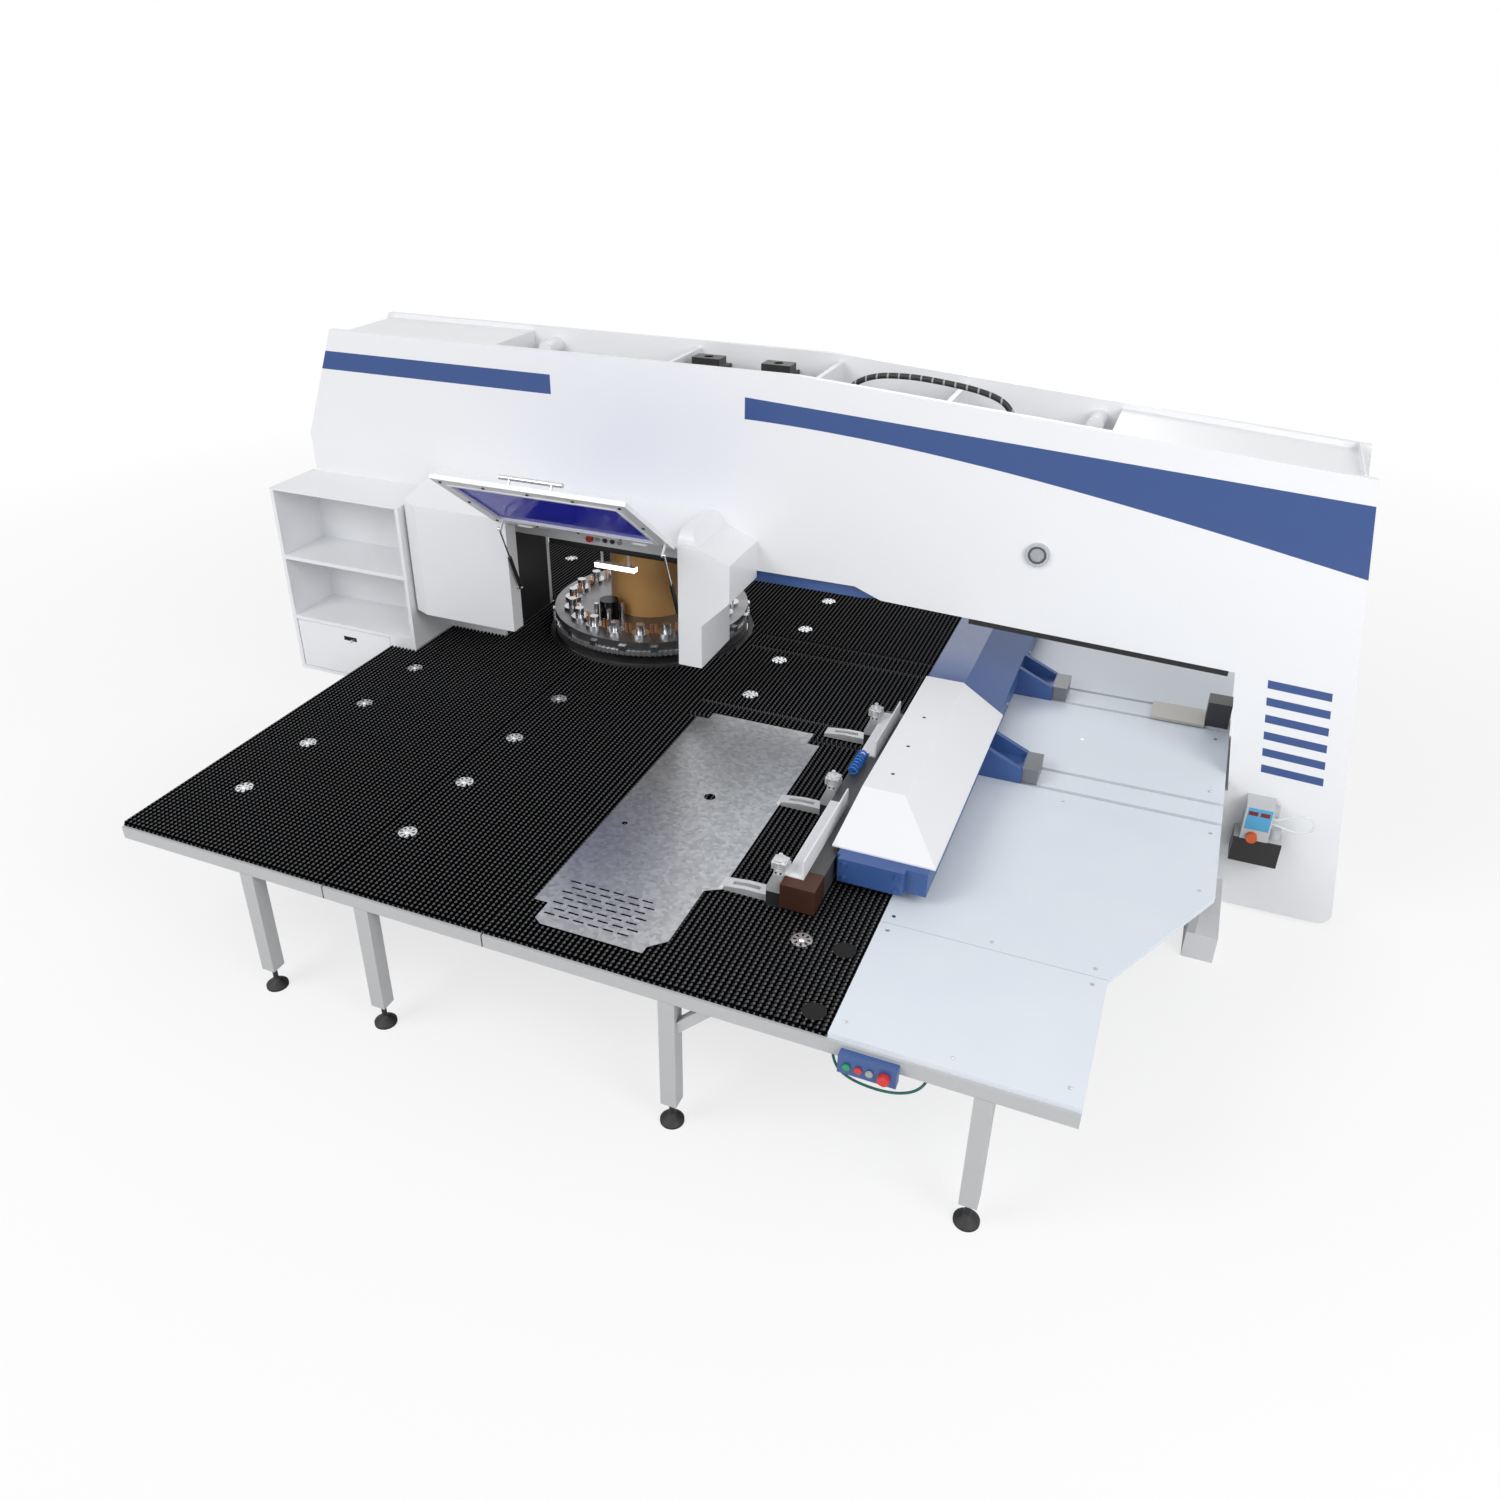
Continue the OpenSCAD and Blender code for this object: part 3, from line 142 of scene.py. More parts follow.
def finish(
    name, colour, rough, metal=0.0, coat=0.0, grain=40.0, uneven=0.06, bump=0.0, shine=0.5, detail=None
):
    material = bpy.data.materials.new(name)
    material.use_nodes = True
    tree = material.node_tree
    shader = tree.nodes["Principled BSDF"]
    shader.inputs["Base Color"].default_value = (*colour, 1)
    shader.inputs["Metallic"].default_value = metal
    shader.inputs["Coat Weight"].default_value = coat
    shader.inputs["Coat Roughness"].default_value = COAT_ROUGH
    shader.inputs["Specular IOR Level"].default_value = shine
    base = Socket(tree)
    place = base.node("ShaderNodeTexCoord", out="Object")
    noise = base.node("ShaderNodeTexNoise", None, {"Vector": place, "Scale": grain, "Detail": 3.0})
    tree.links.new((noise * (2 * uneven) + (rough - uneven)).out, shader.inputs["Roughness"])
    if bump:
        scale = grain * FINE_GRAIN
        fine = base.node("ShaderNodeTexNoise", None, {"Vector": place, "Scale": scale, "Detail": 2.0})
        tilt = base.node("ShaderNodeBump", None, {"Height": fine, "Strength": bump, "Distance": BUMP_M})
        tree.links.new(tilt.out, shader.inputs["Normal"])
    if detail:
        split = base.node("ShaderNodeSeparateXYZ", None, {0: place})
        x, y, z = (Socket(tree, split.out.node.outputs[i]) for i in range(3))
        tree.links.new(detail(base, x, y, z, noise).out, shader.inputs["Base Color"])
    return material


print("finish helper ready")

# %% [markdown]
# The machine has three plain paints. The grey paint of the tables is dark at the two seams between the
# boards, where one table frame meets the next.

# %% Paints
WHITE, BAND_BLUE, DEEP_BLUE = (0.80, 0.81, 0.83), (0.033, 0.078, 0.240), (0.040, 0.095, 0.275)
white_paint = finish("white_paint", WHITE, 0.38, coat=0.15, bump=0.04)
TABLE_GREY, SEAM_DARK = (0.46, 0.47, 0.48), (0.03, 0.03, 0.03)
SEAMS_X, SEAM_HALF, RAIL_REACH = (-1.070, -0.311), 0.003, 2.5


def board_seams(base, x, y, z, noise):
    near = [base.math("ABSOLUTE", x - seam) < SEAM_HALF for seam in SEAMS_X]
    seam = base.math("MAXIMUM", *near) * (base.math("ABSOLUTE", y) > RAIL_REACH)
    return seam.mixed((*TABLE_GREY, 1), (*SEAM_DARK, 1))


table_paint = finish("table_paint", TABLE_GREY, 0.45, bump=0.08, detail=board_seams)
blue_paint = finish("blue_paint", DEEP_BLUE, 0.36, coat=0.2, bump=0.02)
print("paints", [paint.name for paint in (white_paint, table_paint, blue_paint)])

# %% [markdown]
# The front plate carries blue fields of colour: a straight band on the left, a band on the right whose
# lower edge curves down, and short bars on the post. They are painted in the material, by place, because
# they have no thickness.

# %% Front plate with its blue fields
FACE_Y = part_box("front_plate")[0][1]
BAND_LOW, BAND_HIGH, BAND_END = 2.133, 2.232, -1.227
SWEEP_START, SWEEP_TOP, SWEEP_FALL = -0.167, 2.224, 0.0612
CURVE = (2.1146, -0.0390, -0.0568, 0.0067)
BAR_TOP, BAR_PITCH, BAR_SHARE, BARS = 1.228, 0.0836, 0.47, 6
BAR_LEFT, BAR_LEN, BAR_LEAN, BAR_TILT = 2.334, 0.261, 0.1435, 0.054


def blue_fields(base, x, y, z, noise):
    band = z.within(BAND_LOW, BAND_HIGH) * (x < BAND_END)
    top_edge = SWEEP_TOP - (x - SWEEP_START) * SWEEP_FALL
    low_edge = ((x * CURVE[3] + CURVE[2]) * x + CURVE[1]) * x + CURVE[0]
    sweep = (z < top_edge) * (z > low_edge) * (x > SWEEP_START)
    down = (BAR_TOP - z - (x - BAR_LEFT) * BAR_TILT) / BAR_PITCH
    along = x - BAR_LEFT - (BAR_TOP - z) * BAR_LEAN
    bars = (down.fract() < BAR_SHARE) * down.within(0.0, BARS - 1 + BAR_SHARE) * along.within(0.0, BAR_LEN)
    mask = base.math("MAXIMUM", base.math("MAXIMUM", band, sweep), bars) * (y < FACE_Y + SKIN)
    return mask.mixed((*WHITE, 1), (*BAND_BLUE, 1))


front_paint = finish("front_paint", WHITE, 0.36, coat=0.15, bump=0.04, detail=blue_fields)
print("front plate paint made")

# %% [markdown]
# Steel comes in several states here: bright ground tools, dark oiled turret discs, milled aluminium, and a
# sheet of galvanised steel whose zinc flowers show as cloudy patches. A stretched noise stands for the
# marks of the grinding. The clamps are aluminium with a dark block at the foot.


# %% Metals
def streaks(low, high, stretch):
    def detail(base, x, y, z, noise):
        scaled = dict(enumerate(axis * share for axis, share in zip((x, y, z), stretch)))
        long = base.node("ShaderNodeCombineXYZ", None, scaled)
        lines = base.node("ShaderNodeTexNoise", None, {"Vector": long, "Scale": 1.0, "Detail": 4.0})
        return lines.mixed((*low, 1), (*high, 1))

    return detail


FLOWERS_PER_M, ZINC_DARK, ZINC_PALE = 55.0, (0.42, 0.43, 0.44, 1), (0.60, 0.61, 0.62, 1)


def flowers(base, x, y, z, noise):
    place = base.node("ShaderNodeTexCoord", out="Object")
    cells = base.node("ShaderNodeTexVoronoi", None, {"Vector": place, "Scale": FLOWERS_PER_M}, out="Color")
    grey = base.node("ShaderNodeSeparateColor", None, {0: cells})
    return grey.mixed(ZINC_DARK, ZINC_PALE)


ground = streaks((0.48, 0.49, 0.50), (0.70, 0.71, 0.72), (8, 8, 120))
oiled = streaks((0.16, 0.16, 0.17), (0.34, 0.34, 0.35), (9, 9, 90))
RING_H, RING_SHARE, RING_STEEL = 0.0262, 0.8, (0.68, 0.69, 0.70, 1)
ring_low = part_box("upper_turret")[0][2]


def toothed(base, x, y, z, noise):
    on_ring = z.within(ring_low - RING_H, ring_low + RING_H)
    return (on_ring * RING_SHARE).mixed(oiled(base, x, y, z, noise), RING_STEEL)


milled = streaks((0.58, 0.59, 0.60), (0.72, 0.73, 0.74), (90, 9, 9))
bright_steel = finish("bright_steel", (0.60, 0.61, 0.63), 0.28, 1.0, detail=ground)
turret_steel = finish("turret_steel", (0.20, 0.20, 0.21), 0.34, 0.9, detail=toothed)
sheet_steel = finish("sheet_steel", (0.5, 0.5, 0.5), 0.36, 1.0, detail=flowers)
ALUMINIUM = (0.66, 0.67, 0.68)
aluminium = finish("aluminium", ALUMINIUM, 0.35, 0.5, detail=milled)
CLAMP_FACE, BLOCK_TOP, BLOCK_DARK = 0.635, 0.785, (0.045, 0.048, 0.052, 1)


def clamp_block(base, x, y, z, noise):
    block = (x > CLAMP_FACE) * (z < BLOCK_TOP)
    return block.mixed(milled(base, x, y, z, noise), BLOCK_DARK)


clamp_metal = finish("clamp_metal", ALUMINIUM, 0.35, 0.5, detail=clamp_block)
chrome = finish("chrome", (0.78, 0.79, 0.80), 0.10, 1.0, uneven=0.03)
copper_wire = finish("copper_wire", (0.50, 0.22, 0.10), 0.30, 1.0)
black_oxide = finish("black_oxide", (0.02, 0.02, 0.022), 0.45, 0.4)
print("metals made")

# %% [markdown]
# Plastics, rubber and the other paints need only a colour and a roughness. The covers beside the beam are
# still wrapped in pale blue protective film, which wrinkles a little, so they get a bump and a faint change
# of blue.


# %% Plastics and other paints
FILM_DEEP, FILM_PALE = (0.64, 0.70, 0.77, 1), (0.72, 0.76, 0.81, 1)


def film(base, x, y, z, noise):
    return noise.mixed(FILM_DEEP, FILM_PALE)


panel_film = finish("panel_film", (0.68, 0.73, 0.79), 0.42, grain=3.0, bump=0.12, shine=0.3, detail=film)
tan_paint = finish("tan_paint", (0.60, 0.33, 0.12), 0.4)
black_plastic = finish("black_plastic", (0.012, 0.012, 0.013), 0.42, bump=0.1)
black_rubber = finish("black_rubber", (0.014, 0.014, 0.014), 0.6, bump=0.15)
grey_plastic = finish("grey_plastic", (0.35, 0.36, 0.37), 0.35)
red_plastic = finish("red_plastic", (0.60, 0.020, 0.015), 0.28, coat=0.3)
green_plastic = finish("green_plastic", (0.01, 0.30, 0.10), 0.28, coat=0.3)
blue_plastic = finish("blue_plastic", (0.015, 0.13, 0.50), 0.3)
green_rubber = finish("green_rubber", (0.010, 0.115, 0.105), 0.5)


def clear(name, colour, alpha, rough, shine=0.5):
    material = finish(name, colour, rough, uneven=0.02, shine=shine)
    material.node_tree.nodes["Principled BSDF"].inputs["Alpha"].default_value = alpha
    return material


blue_glass = clear("blue_glass", (0.012, 0.020, 0.58), 0.90, 0.10, shine=0.15)
clear_tube = clear("clear_tube", (0.78, 0.82, 0.84), 0.5, 0.15)
LAMP_H, LAMP_STRENGTH, UNLIT, LAMP_LIGHT = 0.026, 4, (0, 0, 0, 1), (1, 0.97, 0.9, 1)
LAMP_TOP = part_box("work_lamp")[0][2] + LAMP_H
lamp_white = finish("lamp_white", (0.55, 0.56, 0.57), 0.3)
lamp_shader = lamp_white.node_tree.nodes["Principled BSDF"]
lamp_base = Socket(lamp_white.node_tree)
lamp_place = lamp_base.node("ShaderNodeTexCoord", out="Object")
lamp_z = lamp_base.node("ShaderNodeSeparateXYZ", None, {0: lamp_place}, out=2)
lit = (lamp_z < LAMP_TOP).mixed(UNLIT, LAMP_LIGHT)
lamp_white.node_tree.links.new(lit.out, lamp_shader.inputs["Emission Color"])
lamp_shader.inputs["Emission Strength"].default_value = LAMP_STRENGTH
print("plastics made")

# %% [markdown]
# The brush boards carry rows of tufts. The solid has every second row as a ridge, and the material breaks
# the ridges and the valleys between them into single round tufts, with every second row set over by half a
# tuft. The top of each tuft is a painted highlight, and the gaps between the tufts are painted shade, near
# black. Each board has its own material, because its rows start at its own edge.

# %% Brush boards
ROW_PITCH, TUFT_PITCH, TUFT_SHARE = 0.024, 0.022, 0.36
# Painted highlight on the tuft tops and painted shade in the gaps between the tufts.
TUFT_GAP_SHADE, TUFT_TOP_HIGHLIGHT = (0.001, 0.001, 0.0012, 1), (0.110, 0.112, 0.117, 1)


def tufts(name):
    low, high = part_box(name)
    rows = math.floor((high[0] - low[0]) / ROW_PITCH)
    pitch = (high[0] - low[0]) / rows / 2

    def detail(base, x, y, z, noise):
        row = (x - low[0]) / pitch - 0.5
        along = y / TUFT_PITCH + base.math("FLOOR", row) * 0.5
        dx, dy = row.fract() - 0.5, along.fract() - 0.5
        tuft = (dx * dx + dy * dy) < TUFT_SHARE**2
        return tuft.mixed(TUFT_GAP_SHADE, TUFT_TOP_HIGHLIGHT)

    return detail


def brush(name):
    return finish(
        f"{name}_bristles", (0.02, 0.02, 0.02), 0.70, grain=400.0, bump=0.5, shine=0.02, detail=tufts(name)
    )


left_bristles, middle_bristles, right_bristles = (
    brush(name) for name in ("left_brush", "middle_brush", "right_brush")
)
print("bristles made")

# %% [markdown]
# Some solids hold several materials in one piece, such as the lubricator with its dark tank, blue key panel
# and orange knob. A mask worked out from the place on the piece picks the colour, so the solid stays one
# piece.


# %% Pieces with several colours
def layered(first, *layers):
    def detail(base, x, y, z, noise):
        colour = (*first, 1)
        for where, paint in layers:
            colour = where(base, x, y, z).mixed(colour, (*paint, 1))
        return colour

    return detail


LUBE_FACE, TANK_TOP = -0.393, 0.470
KEYS_X, KEYS_Z = (2.380, 2.484), (0.525, 0.640)
DIGIT_Z, DIGITS_X = (0.600, 0.622), ((2.385, 2.425), (2.435, 2.475))


def on_keys(base, x, y, z):
    return (y < LUBE_FACE + SKIN) * x.within(*KEYS_X) * z.within(*KEYS_Z)


def on_digits(base, x, y, z):
    either = base.math("MAXIMUM", x.within(*DIGITS_X[0]), x.within(*DIGITS_X[1]))
    return (y < LUBE_FACE + SKIN) * either * z.within(*DIGIT_Z)


lubricator_paint = finish(
    "lubricator_paint", (0.5, 0.5, 0.5), 0.35,
    detail=layered(
        (0.50, 0.52, 0.53),
        (lambda base, x, y, z: z < TANK_TOP, (0.020, 0.018, 0.018)),
        (on_keys, (0.08, 0.34, 0.58)),
        (on_digits, (0.16, 0.01, 0.01)),
        (lambda base, x, y, z: y < LUBE_FACE - SKIN, (0.62, 0.10, 0.02)),
    ),
)
print("lubricator paint made")

# %% [markdown]
# The beam's brackets end in bare steel blocks, the carriage bar has a rusty front end, and the fittings in
# the trough are black blocks, white pipe stubs and grey posts. Inside the throat the columns carry painted
# shade: near black above the throat's floor, where the throat lies in shadow.

# %% Beam, bar, fittings and columns
BEAM_STOP_X = 1.397
beam_paint = finish(
    "beam_paint", DEEP_BLUE, 0.42, coat=0.10, bump=0.02,
    detail=layered(DEEP_BLUE, (lambda base, x, y, z: x > BEAM_STOP_X, (0.16, 0.17, 0.18))),
)
RUST_LEN = 0.12
RUST_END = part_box("carriage_bar")[0][1] + RUST_LEN
bar_paint = finish(
    "bar_paint", (0.2, 0.2, 0.2), 0.45, 0.6,
    detail=layered((0.10, 0.10, 0.105), (lambda base, x, y, z: y < RUST_END, (0.085, 0.035, 0.022))),
)
STUB_REACH, POST_TOP, POST_SPAN = 1.2, 2.190, (0.15, 1.15)
fitting_paint = finish(
    "fitting_paint", (0.02, 0.02, 0.02), 0.4,
    detail=layered(
        (0.015, 0.015, 0.016),
        (lambda base, x, y, z: base.math("ABSOLUTE", x) > STUB_REACH, WHITE),
        (lambda base, x, y, z: (z < POST_TOP) * x.within(*POST_SPAN), (0.40, 0.41, 0.42)),
    ),
)
THROAT_X, THROAT_FLOOR = (-1.641, 2.190), 0.630
column_paint_throat_shade = finish(
    "column_paint_throat_shade", (0.70, 0.71, 0.73), 0.45, bump=0.08,
    detail=layered(
        (0.70, 0.71, 0.73),
        # Painted shade: the columns are near black inside the throat, above its floor.
        (lambda base, x, y, z: x.within(*THROAT_X) * (z > THROAT_FLOOR), (0.018, 0.018, 0.020)),
    ),
)
print("beam, bar, fitting and column paints made")

# %% [markdown]
# Round pieces take their colours from the distance to their middle: the viewing port has a dark ring round
# its glass. The pressure hose has pale marks along its length.

# %% Port and hose
PORT_AT, PORT_GLASS, PORT_RIM = (1.275, 1.655), 0.031, 0.042
PORT_STEEL, GLASS_GREY, RIM_DARK = (0.62, 0.63, 0.65, 1), (0.50, 0.52, 0.54, 1), (0.14, 0.14, 0.15, 1)


def port_rings(base, x, y, z, noise):
    dx, dz = x - PORT_AT[0], z - PORT_AT[1]
    reach = base.math("SQRT", dx * dx + dz * dz)
    glass = (reach < PORT_GLASS).mixed(PORT_STEEL, GLASS_GREY)
    return reach.within(PORT_GLASS, PORT_RIM).mixed(glass, RIM_DARK)


port_steel = finish("port_steel", (0.6, 0.6, 0.6), 0.25, 0.8, detail=port_rings)
MARK_PITCH, MARK_SHARE = 0.055, 0.16
hose_rubber = finish(
    "hose_rubber", (0.014, 0.014, 0.014), 0.5,
    detail=layered(
        (0.014, 0.014, 0.014),
        (lambda base, x, y, z: (x / MARK_PITCH).fract() < MARK_SHARE, (0.32, 0.33, 0.34)),
    ),
)
print("port and hose finishes made")

# %% [markdown]
# The ball units stand on a grid, so the place in the grid gives the distance and the angle from the nearest
# ball, and with them the ring of holes round it. Two discs at the right are black. The motor stands on a
# pale plate, and one tool of the turret is a dark holder.

# %% Motor, ball units and tools
MOTOR_W = 0.110
MOTOR_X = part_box("drive_motor")[1][0] - MOTOR_W
motor_paint = finish(
    "motor_paint", (0.02, 0.02, 0.02), 0.45,
    detail=layered((0.045, 0.046, 0.050), (lambda base, x, y, z: x < MOTOR_X, (0.52, 0.50, 0.46))),
)
BALL_X0, BALL_Y0, BALL_DX, BALL_DY = -1.865, -2.145, 0.900, 0.437
HOLES, HOLE_SHARE, HOLE_SPAN, DISC_SPAN = 8, 0.42, (0.020, 0.034), (0.90, 1.10)
PLATED, HOLE_DARK, DISC_BLACK = (0.72, 0.73, 0.74, 1), (0.02, 0.02, 0.02, 1), (0.012, 0.012, 0.012, 1)


def ball_plate(base, x, y, z, noise):
    dx = (((x - BALL_X0) / BALL_DX + 0.5).fract() - 0.5) * BALL_DX
    dy = (((y - BALL_Y0) / BALL_DY + 0.5).fract() - 0.5) * BALL_DY
    reach = base.math("SQRT", dx * dx + dy * dy)
    turn = base.math("ARCTAN2", dy, dx) * (HOLES / (2 * math.pi))
    holes = reach.within(*HOLE_SPAN) * (turn.fract() < HOLE_SHARE)
    plated = holes.mixed(PLATED, HOLE_DARK)
    return x.within(*DISC_SPAN).mixed(plated, DISC_BLACK)


ball_steel = finish("ball_steel", (0.7, 0.7, 0.7), 0.3, 0.8, detail=ball_plate)
HOLDER_AT, HOLDER_R = (-1.044, -0.098), 0.060


def dark_holder(base, x, y, z):
    dx, dy = x - HOLDER_AT[0], y - HOLDER_AT[1]
    return base.math("SQRT", dx * dx + dy * dy) < HOLDER_R


guide_steel = finish(
    "guide_steel", (0.6, 0.6, 0.6), 0.26, 1.0,
    detail=layered((0.62, 0.63, 0.65), (dark_holder, (0.03, 0.03, 0.032))),
)
print("motor, ball and tool finishes made")

# %% [markdown]
# Now each solid gets its finish. A dictionary keeps the choice in one place, with the name of the piece
# next to its finish.

# %% Finishes for the solids
CHOICE = {
    front_paint: ["front_plate"],
    white_paint: [
        "rear_plate", "top_covers", "tool_cabinet", "cabinet_door", "hood_shell", "hood_wing", "hatch_frame",
        "control_rail", "beam_cover", "carriage_guards", "upper_web",
    ],
    column_paint_throat_shade: ["frame_columns"],
    table_paint: ["table_frames"],
    blue_paint: ["head_lip", "beam_end_cap", "button_box"],
    beam_paint: ["cross_beam"],
    black_oxide: ["ram_housing"],
    fitting_paint: ["trough_fittings"],
    black_rubber: ["levelling_feet"],
    hose_rubber: ["pressure_hose"],
    black_plastic: ["cable_track", "cabinet_lock", "strut_barrels", "hood_button_2", "hood_button_3"],
    bright_steel: ["ram_striker", "hatch_handle"],
    port_steel: ["viewing_port"],
    guide_steel: ["tool_guides"],
    ball_steel: ["ball_units"],
    chrome: ["strut_rods"],
    blue_glass: ["hatch_window"],
    red_plastic: ["hood_stop", "box_stop", "box_button_2"],
    grey_plastic: ["hood_button_1", "hood_button_4", "box_button_3"],
    green_plastic: ["box_button_1"],
    lamp_white: ["work_lamp"],
    turret_steel: ["upper_turret", "lower_turret"],
    copper_wire: ["tool_springs"],
    tan_paint: ["turret_hub"],
    bar_paint: ["carriage_bar"],
    clamp_metal: ["clamp_bodies"],
    aluminium: ["clamp_jaws"],
    blue_plastic: ["air_coil"],
    sheet_steel: ["workpiece"],
    left_bristles: ["left_brush"],
    middle_bristles: ["middle_brush"],
    right_bristles: ["right_brush"],
    panel_film: ["cover_panels", "guide_rails"],
    motor_paint: ["drive_motor"],
    green_rubber: ["box_cord"],
    lubricator_paint: ["lubricator"],
    clear_tube: ["lube_tube"],
}
for material, names in CHOICE.items():
    for name in names:
        nodes[name].data.materials.clear()
        nodes[name].data.materials.append(material)
bare = set(nodes) - {name for names in CHOICE.values() for name in names}
print("solids without a finish:", bare)

# %% [markdown]
# Cords are round lines through listed points. A smooth curve is drawn through the same points as the
# solid has, and its length is measured along it.

# %% How a cord is drawn
CORD_ROUNDING, MM_PER_M = 3, 1000


def smooth(points, steps=6):
    ends = [points[0] * 2 - points[1], *points, points[-1] * 2 - points[-2]]
    line = []
    for a, b, c, d in zip(ends, ends[1:], ends[2:], ends[3:]):
        for k in range(steps):
            t = k / steps
            bend = 2 * a - 5 * b + 4 * c - d
            twist = 3 * b - a - 3 * c + d
            line.append((2 * b + (c - a) * t + bend * t**2 + twist * t**3) / 2)
    return line + [points[-1]]


def draw_cord(name, line, radius, node, body, material):
    curve = bpy.data.curves.new(name, "CURVE")
    curve.dimensions, curve.use_fill_caps = "3D", True
    curve.bevel_depth, curve.bevel_resolution = radius, CORD_ROUNDING
    spline = curve.splines.new("POLY")
    spline.points.add(len(line) - 1)
    for point, place in zip(spline.points, line):
        point.co = (*place, 1)
    cord = bpy.data.objects.new(name, curve)
    bpy.context.collection.objects.link(cord)
    curve.materials.append(material)
    length = sum((b - a).length for a, b in zip(line, line[1:]))
    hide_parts(node)
    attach(cord, body)
    print(name, "length", round(length, 3))


def metres(points):
    return [Vector(p) / MM_PER_M for p in points]


print("cord helpers ready")

# %% [markdown]
# The pressure hose arches over the trough, the cord of the button box hangs in a loop under the table, and
# the lubricator has a loop of clear tube. The routes are in millimetres, as in the solids.

# %% Hose, cord and tube
HOSE = [
    (230, 60, 2180), (230, 60, 2205), (290, 44, 2268), (400, 20, 2312), (560, 0, 2326), (740, -20, 2318),
    (900, -30, 2296), (1000, -38, 2262), (1050, -40, 2205), (1055, -40, 2155), (1055, -40, 2130),
]
CORD = [
    (1096, -2556, 631.5), (1096, -2556, 614), (1108, -2566, 585), (1130, -2576, 562), (1170, -2584, 546),
    (1225, -2588, 538), (1285, -2588, 537), (1340, -2585, 545), (1385, -2578, 562), (1414, -2568, 585),
    (1430, -2556, 614), (1430, -2556, 631.5),
]
TUBE = [
    (2492.5, -375, 590), (2512, -375, 590), (2562, -379, 620), (2604, -381, 638), (2642, -383, 634),
    (2660, -383, 606), (2652, -383, 574), (2618, -381, 554), (2572, -379, 550), (2512, -375, 562),
    (2492.5, -375, 562),
]
HOSE_R, CORD_R = 0.014, 0.005
hose, cord, tube = (smooth(metres(route)) for route in (HOSE, CORD, TUBE))
draw_cord("hose_line", hose, HOSE_R, "pressure_hose", "frame", hose_rubber)
draw_cord("box_line", cord, CORD_R, "box_cord", "frame", green_rubber)
draw_cord("tube_line", tube, CORD_R, "lube_tube", "frame", clear_tube)

# %% [markdown]
# The carriage gets its air through a coiled hose. Its turns are worked out from the box of the solid that
# stands for it.

# %% Air coil
coil_low, coil_high = (Vector(v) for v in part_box("air_coil"))
COIL_TURNS, COIL_WIRE, TURN_POINTS = 7, 0.005, 20
coil_r = (coil_high.x - coil_low.x) / 2 - COIL_WIRE - SKIN
coil_mid = (coil_low + coil_high) / 2
coil_run = coil_high.y - coil_low.y - 2 * COIL_WIRE
coil = []
for i in range(COIL_TURNS * TURN_POINTS + 1):
    angle = 2 * math.pi * i / TURN_POINTS
    along = coil_low.y + COIL_WIRE + coil_run * i / (COIL_TURNS * TURN_POINTS)
    coil.append(Vector((coil_mid.x + coil_r * math.cos(angle), along, coil_mid.z + coil_r * math.sin(angle))))
draw_cord(
    "air_line", coil, COIL_WIRE, "air_coil", "carriage", blue_plastic
)

# %% [markdown]
# Small pieces are modelled by hand from primitives. A few helpers do the steps that the pieces share: start
# with nothing selected, soften edges, join pieces into one, and at the end lay the piece's place into its
# mesh, give it a finish and let it ride on its body.

# %% Helpers for pieces
SMOOTH_BELOW = math.radians(35)


def nothing_selected():
    if bpy.context.mode != "OBJECT":
        bpy.ops.object.mode_set(mode="OBJECT")
    bpy.ops.object.select_all(action="DESELECT")


def settle(piece, name, body, material):
    nothing_selected()
    piece.select_set(True)
    bpy.context.view_layer.objects.active = piece
    bpy.ops.object.transform_apply(location=True, rotation=True, scale=True)
    bpy.ops.object.shade_smooth_by_angle(angle=SMOOTH_BELOW)
    piece.name = piece.data.name = name
    piece.data.materials.clear()
    piece.data.materials.append(material)
    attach(piece, body)
    print(name, "faces", len(piece.data.polygons))
    return piece


def soften(piece, width, segments=2):
    bevel = piece.modifiers.new("edge", "BEVEL")
    bevel.width, bevel.segments, bevel.limit_method = width, segments, "ANGLE"
    bpy.ops.object.modifier_apply(modifier=bevel.name)


def joined(pieces):
    nothing_selected()
    for piece in pieces:
        piece.select_set(True)
    bpy.context.view_layer.objects.active = pieces[0]
    bpy.ops.object.join()
    return bpy.context.object


print("helpers ready")

# %% [markdown]
# Plates and screws come up many times. A plate is a cube with softened edges. A screw head is a cylinder
# whose top face is inset and pushed down. Copies have their own mesh, are moved to their places and joined.

# %% Plates, screw heads and copies
HEAD_SIDES, RIM_SHARE, DISH_SHARE, FACING_UP = 18, 0.45, 0.4, 0.9


def plate(low, high, edge):
    nothing_selected()
    low, high = Vector(low), Vector(high)
    bpy.ops.mesh.primitive_cube_add(size=1, location=(low + high) / 2, scale=high - low)
    made = bpy.context.object
    bpy.ops.object.transform_apply(location=True, rotation=True, scale=True)
    soften(made, edge)
    return made


def screw_head(radius, height):
    nothing_selected()
    bpy.ops.mesh.primitive_cylinder_add(
        vertices=HEAD_SIDES, radius=radius, depth=height, location=(0, 0, height / 2)
    )
    made = bpy.context.object
    bpy.ops.object.mode_set(mode="EDIT")
    bpy.ops.mesh.select_all(action="DESELECT")
    bpy.ops.object.mode_set(mode="OBJECT")
    for face in made.data.polygons:
        face.select = face.normal.z > FACING_UP
    bpy.ops.object.mode_set(mode="EDIT")
    bpy.ops.mesh.inset(thickness=radius * RIM_SHARE)
    bpy.ops.transform.translate(value=(0, 0, -height * DISH_SHARE))
    bpy.ops.object.mode_set(mode="OBJECT")
    bpy.ops.object.transform_apply(location=True, rotation=True, scale=True)
    return made


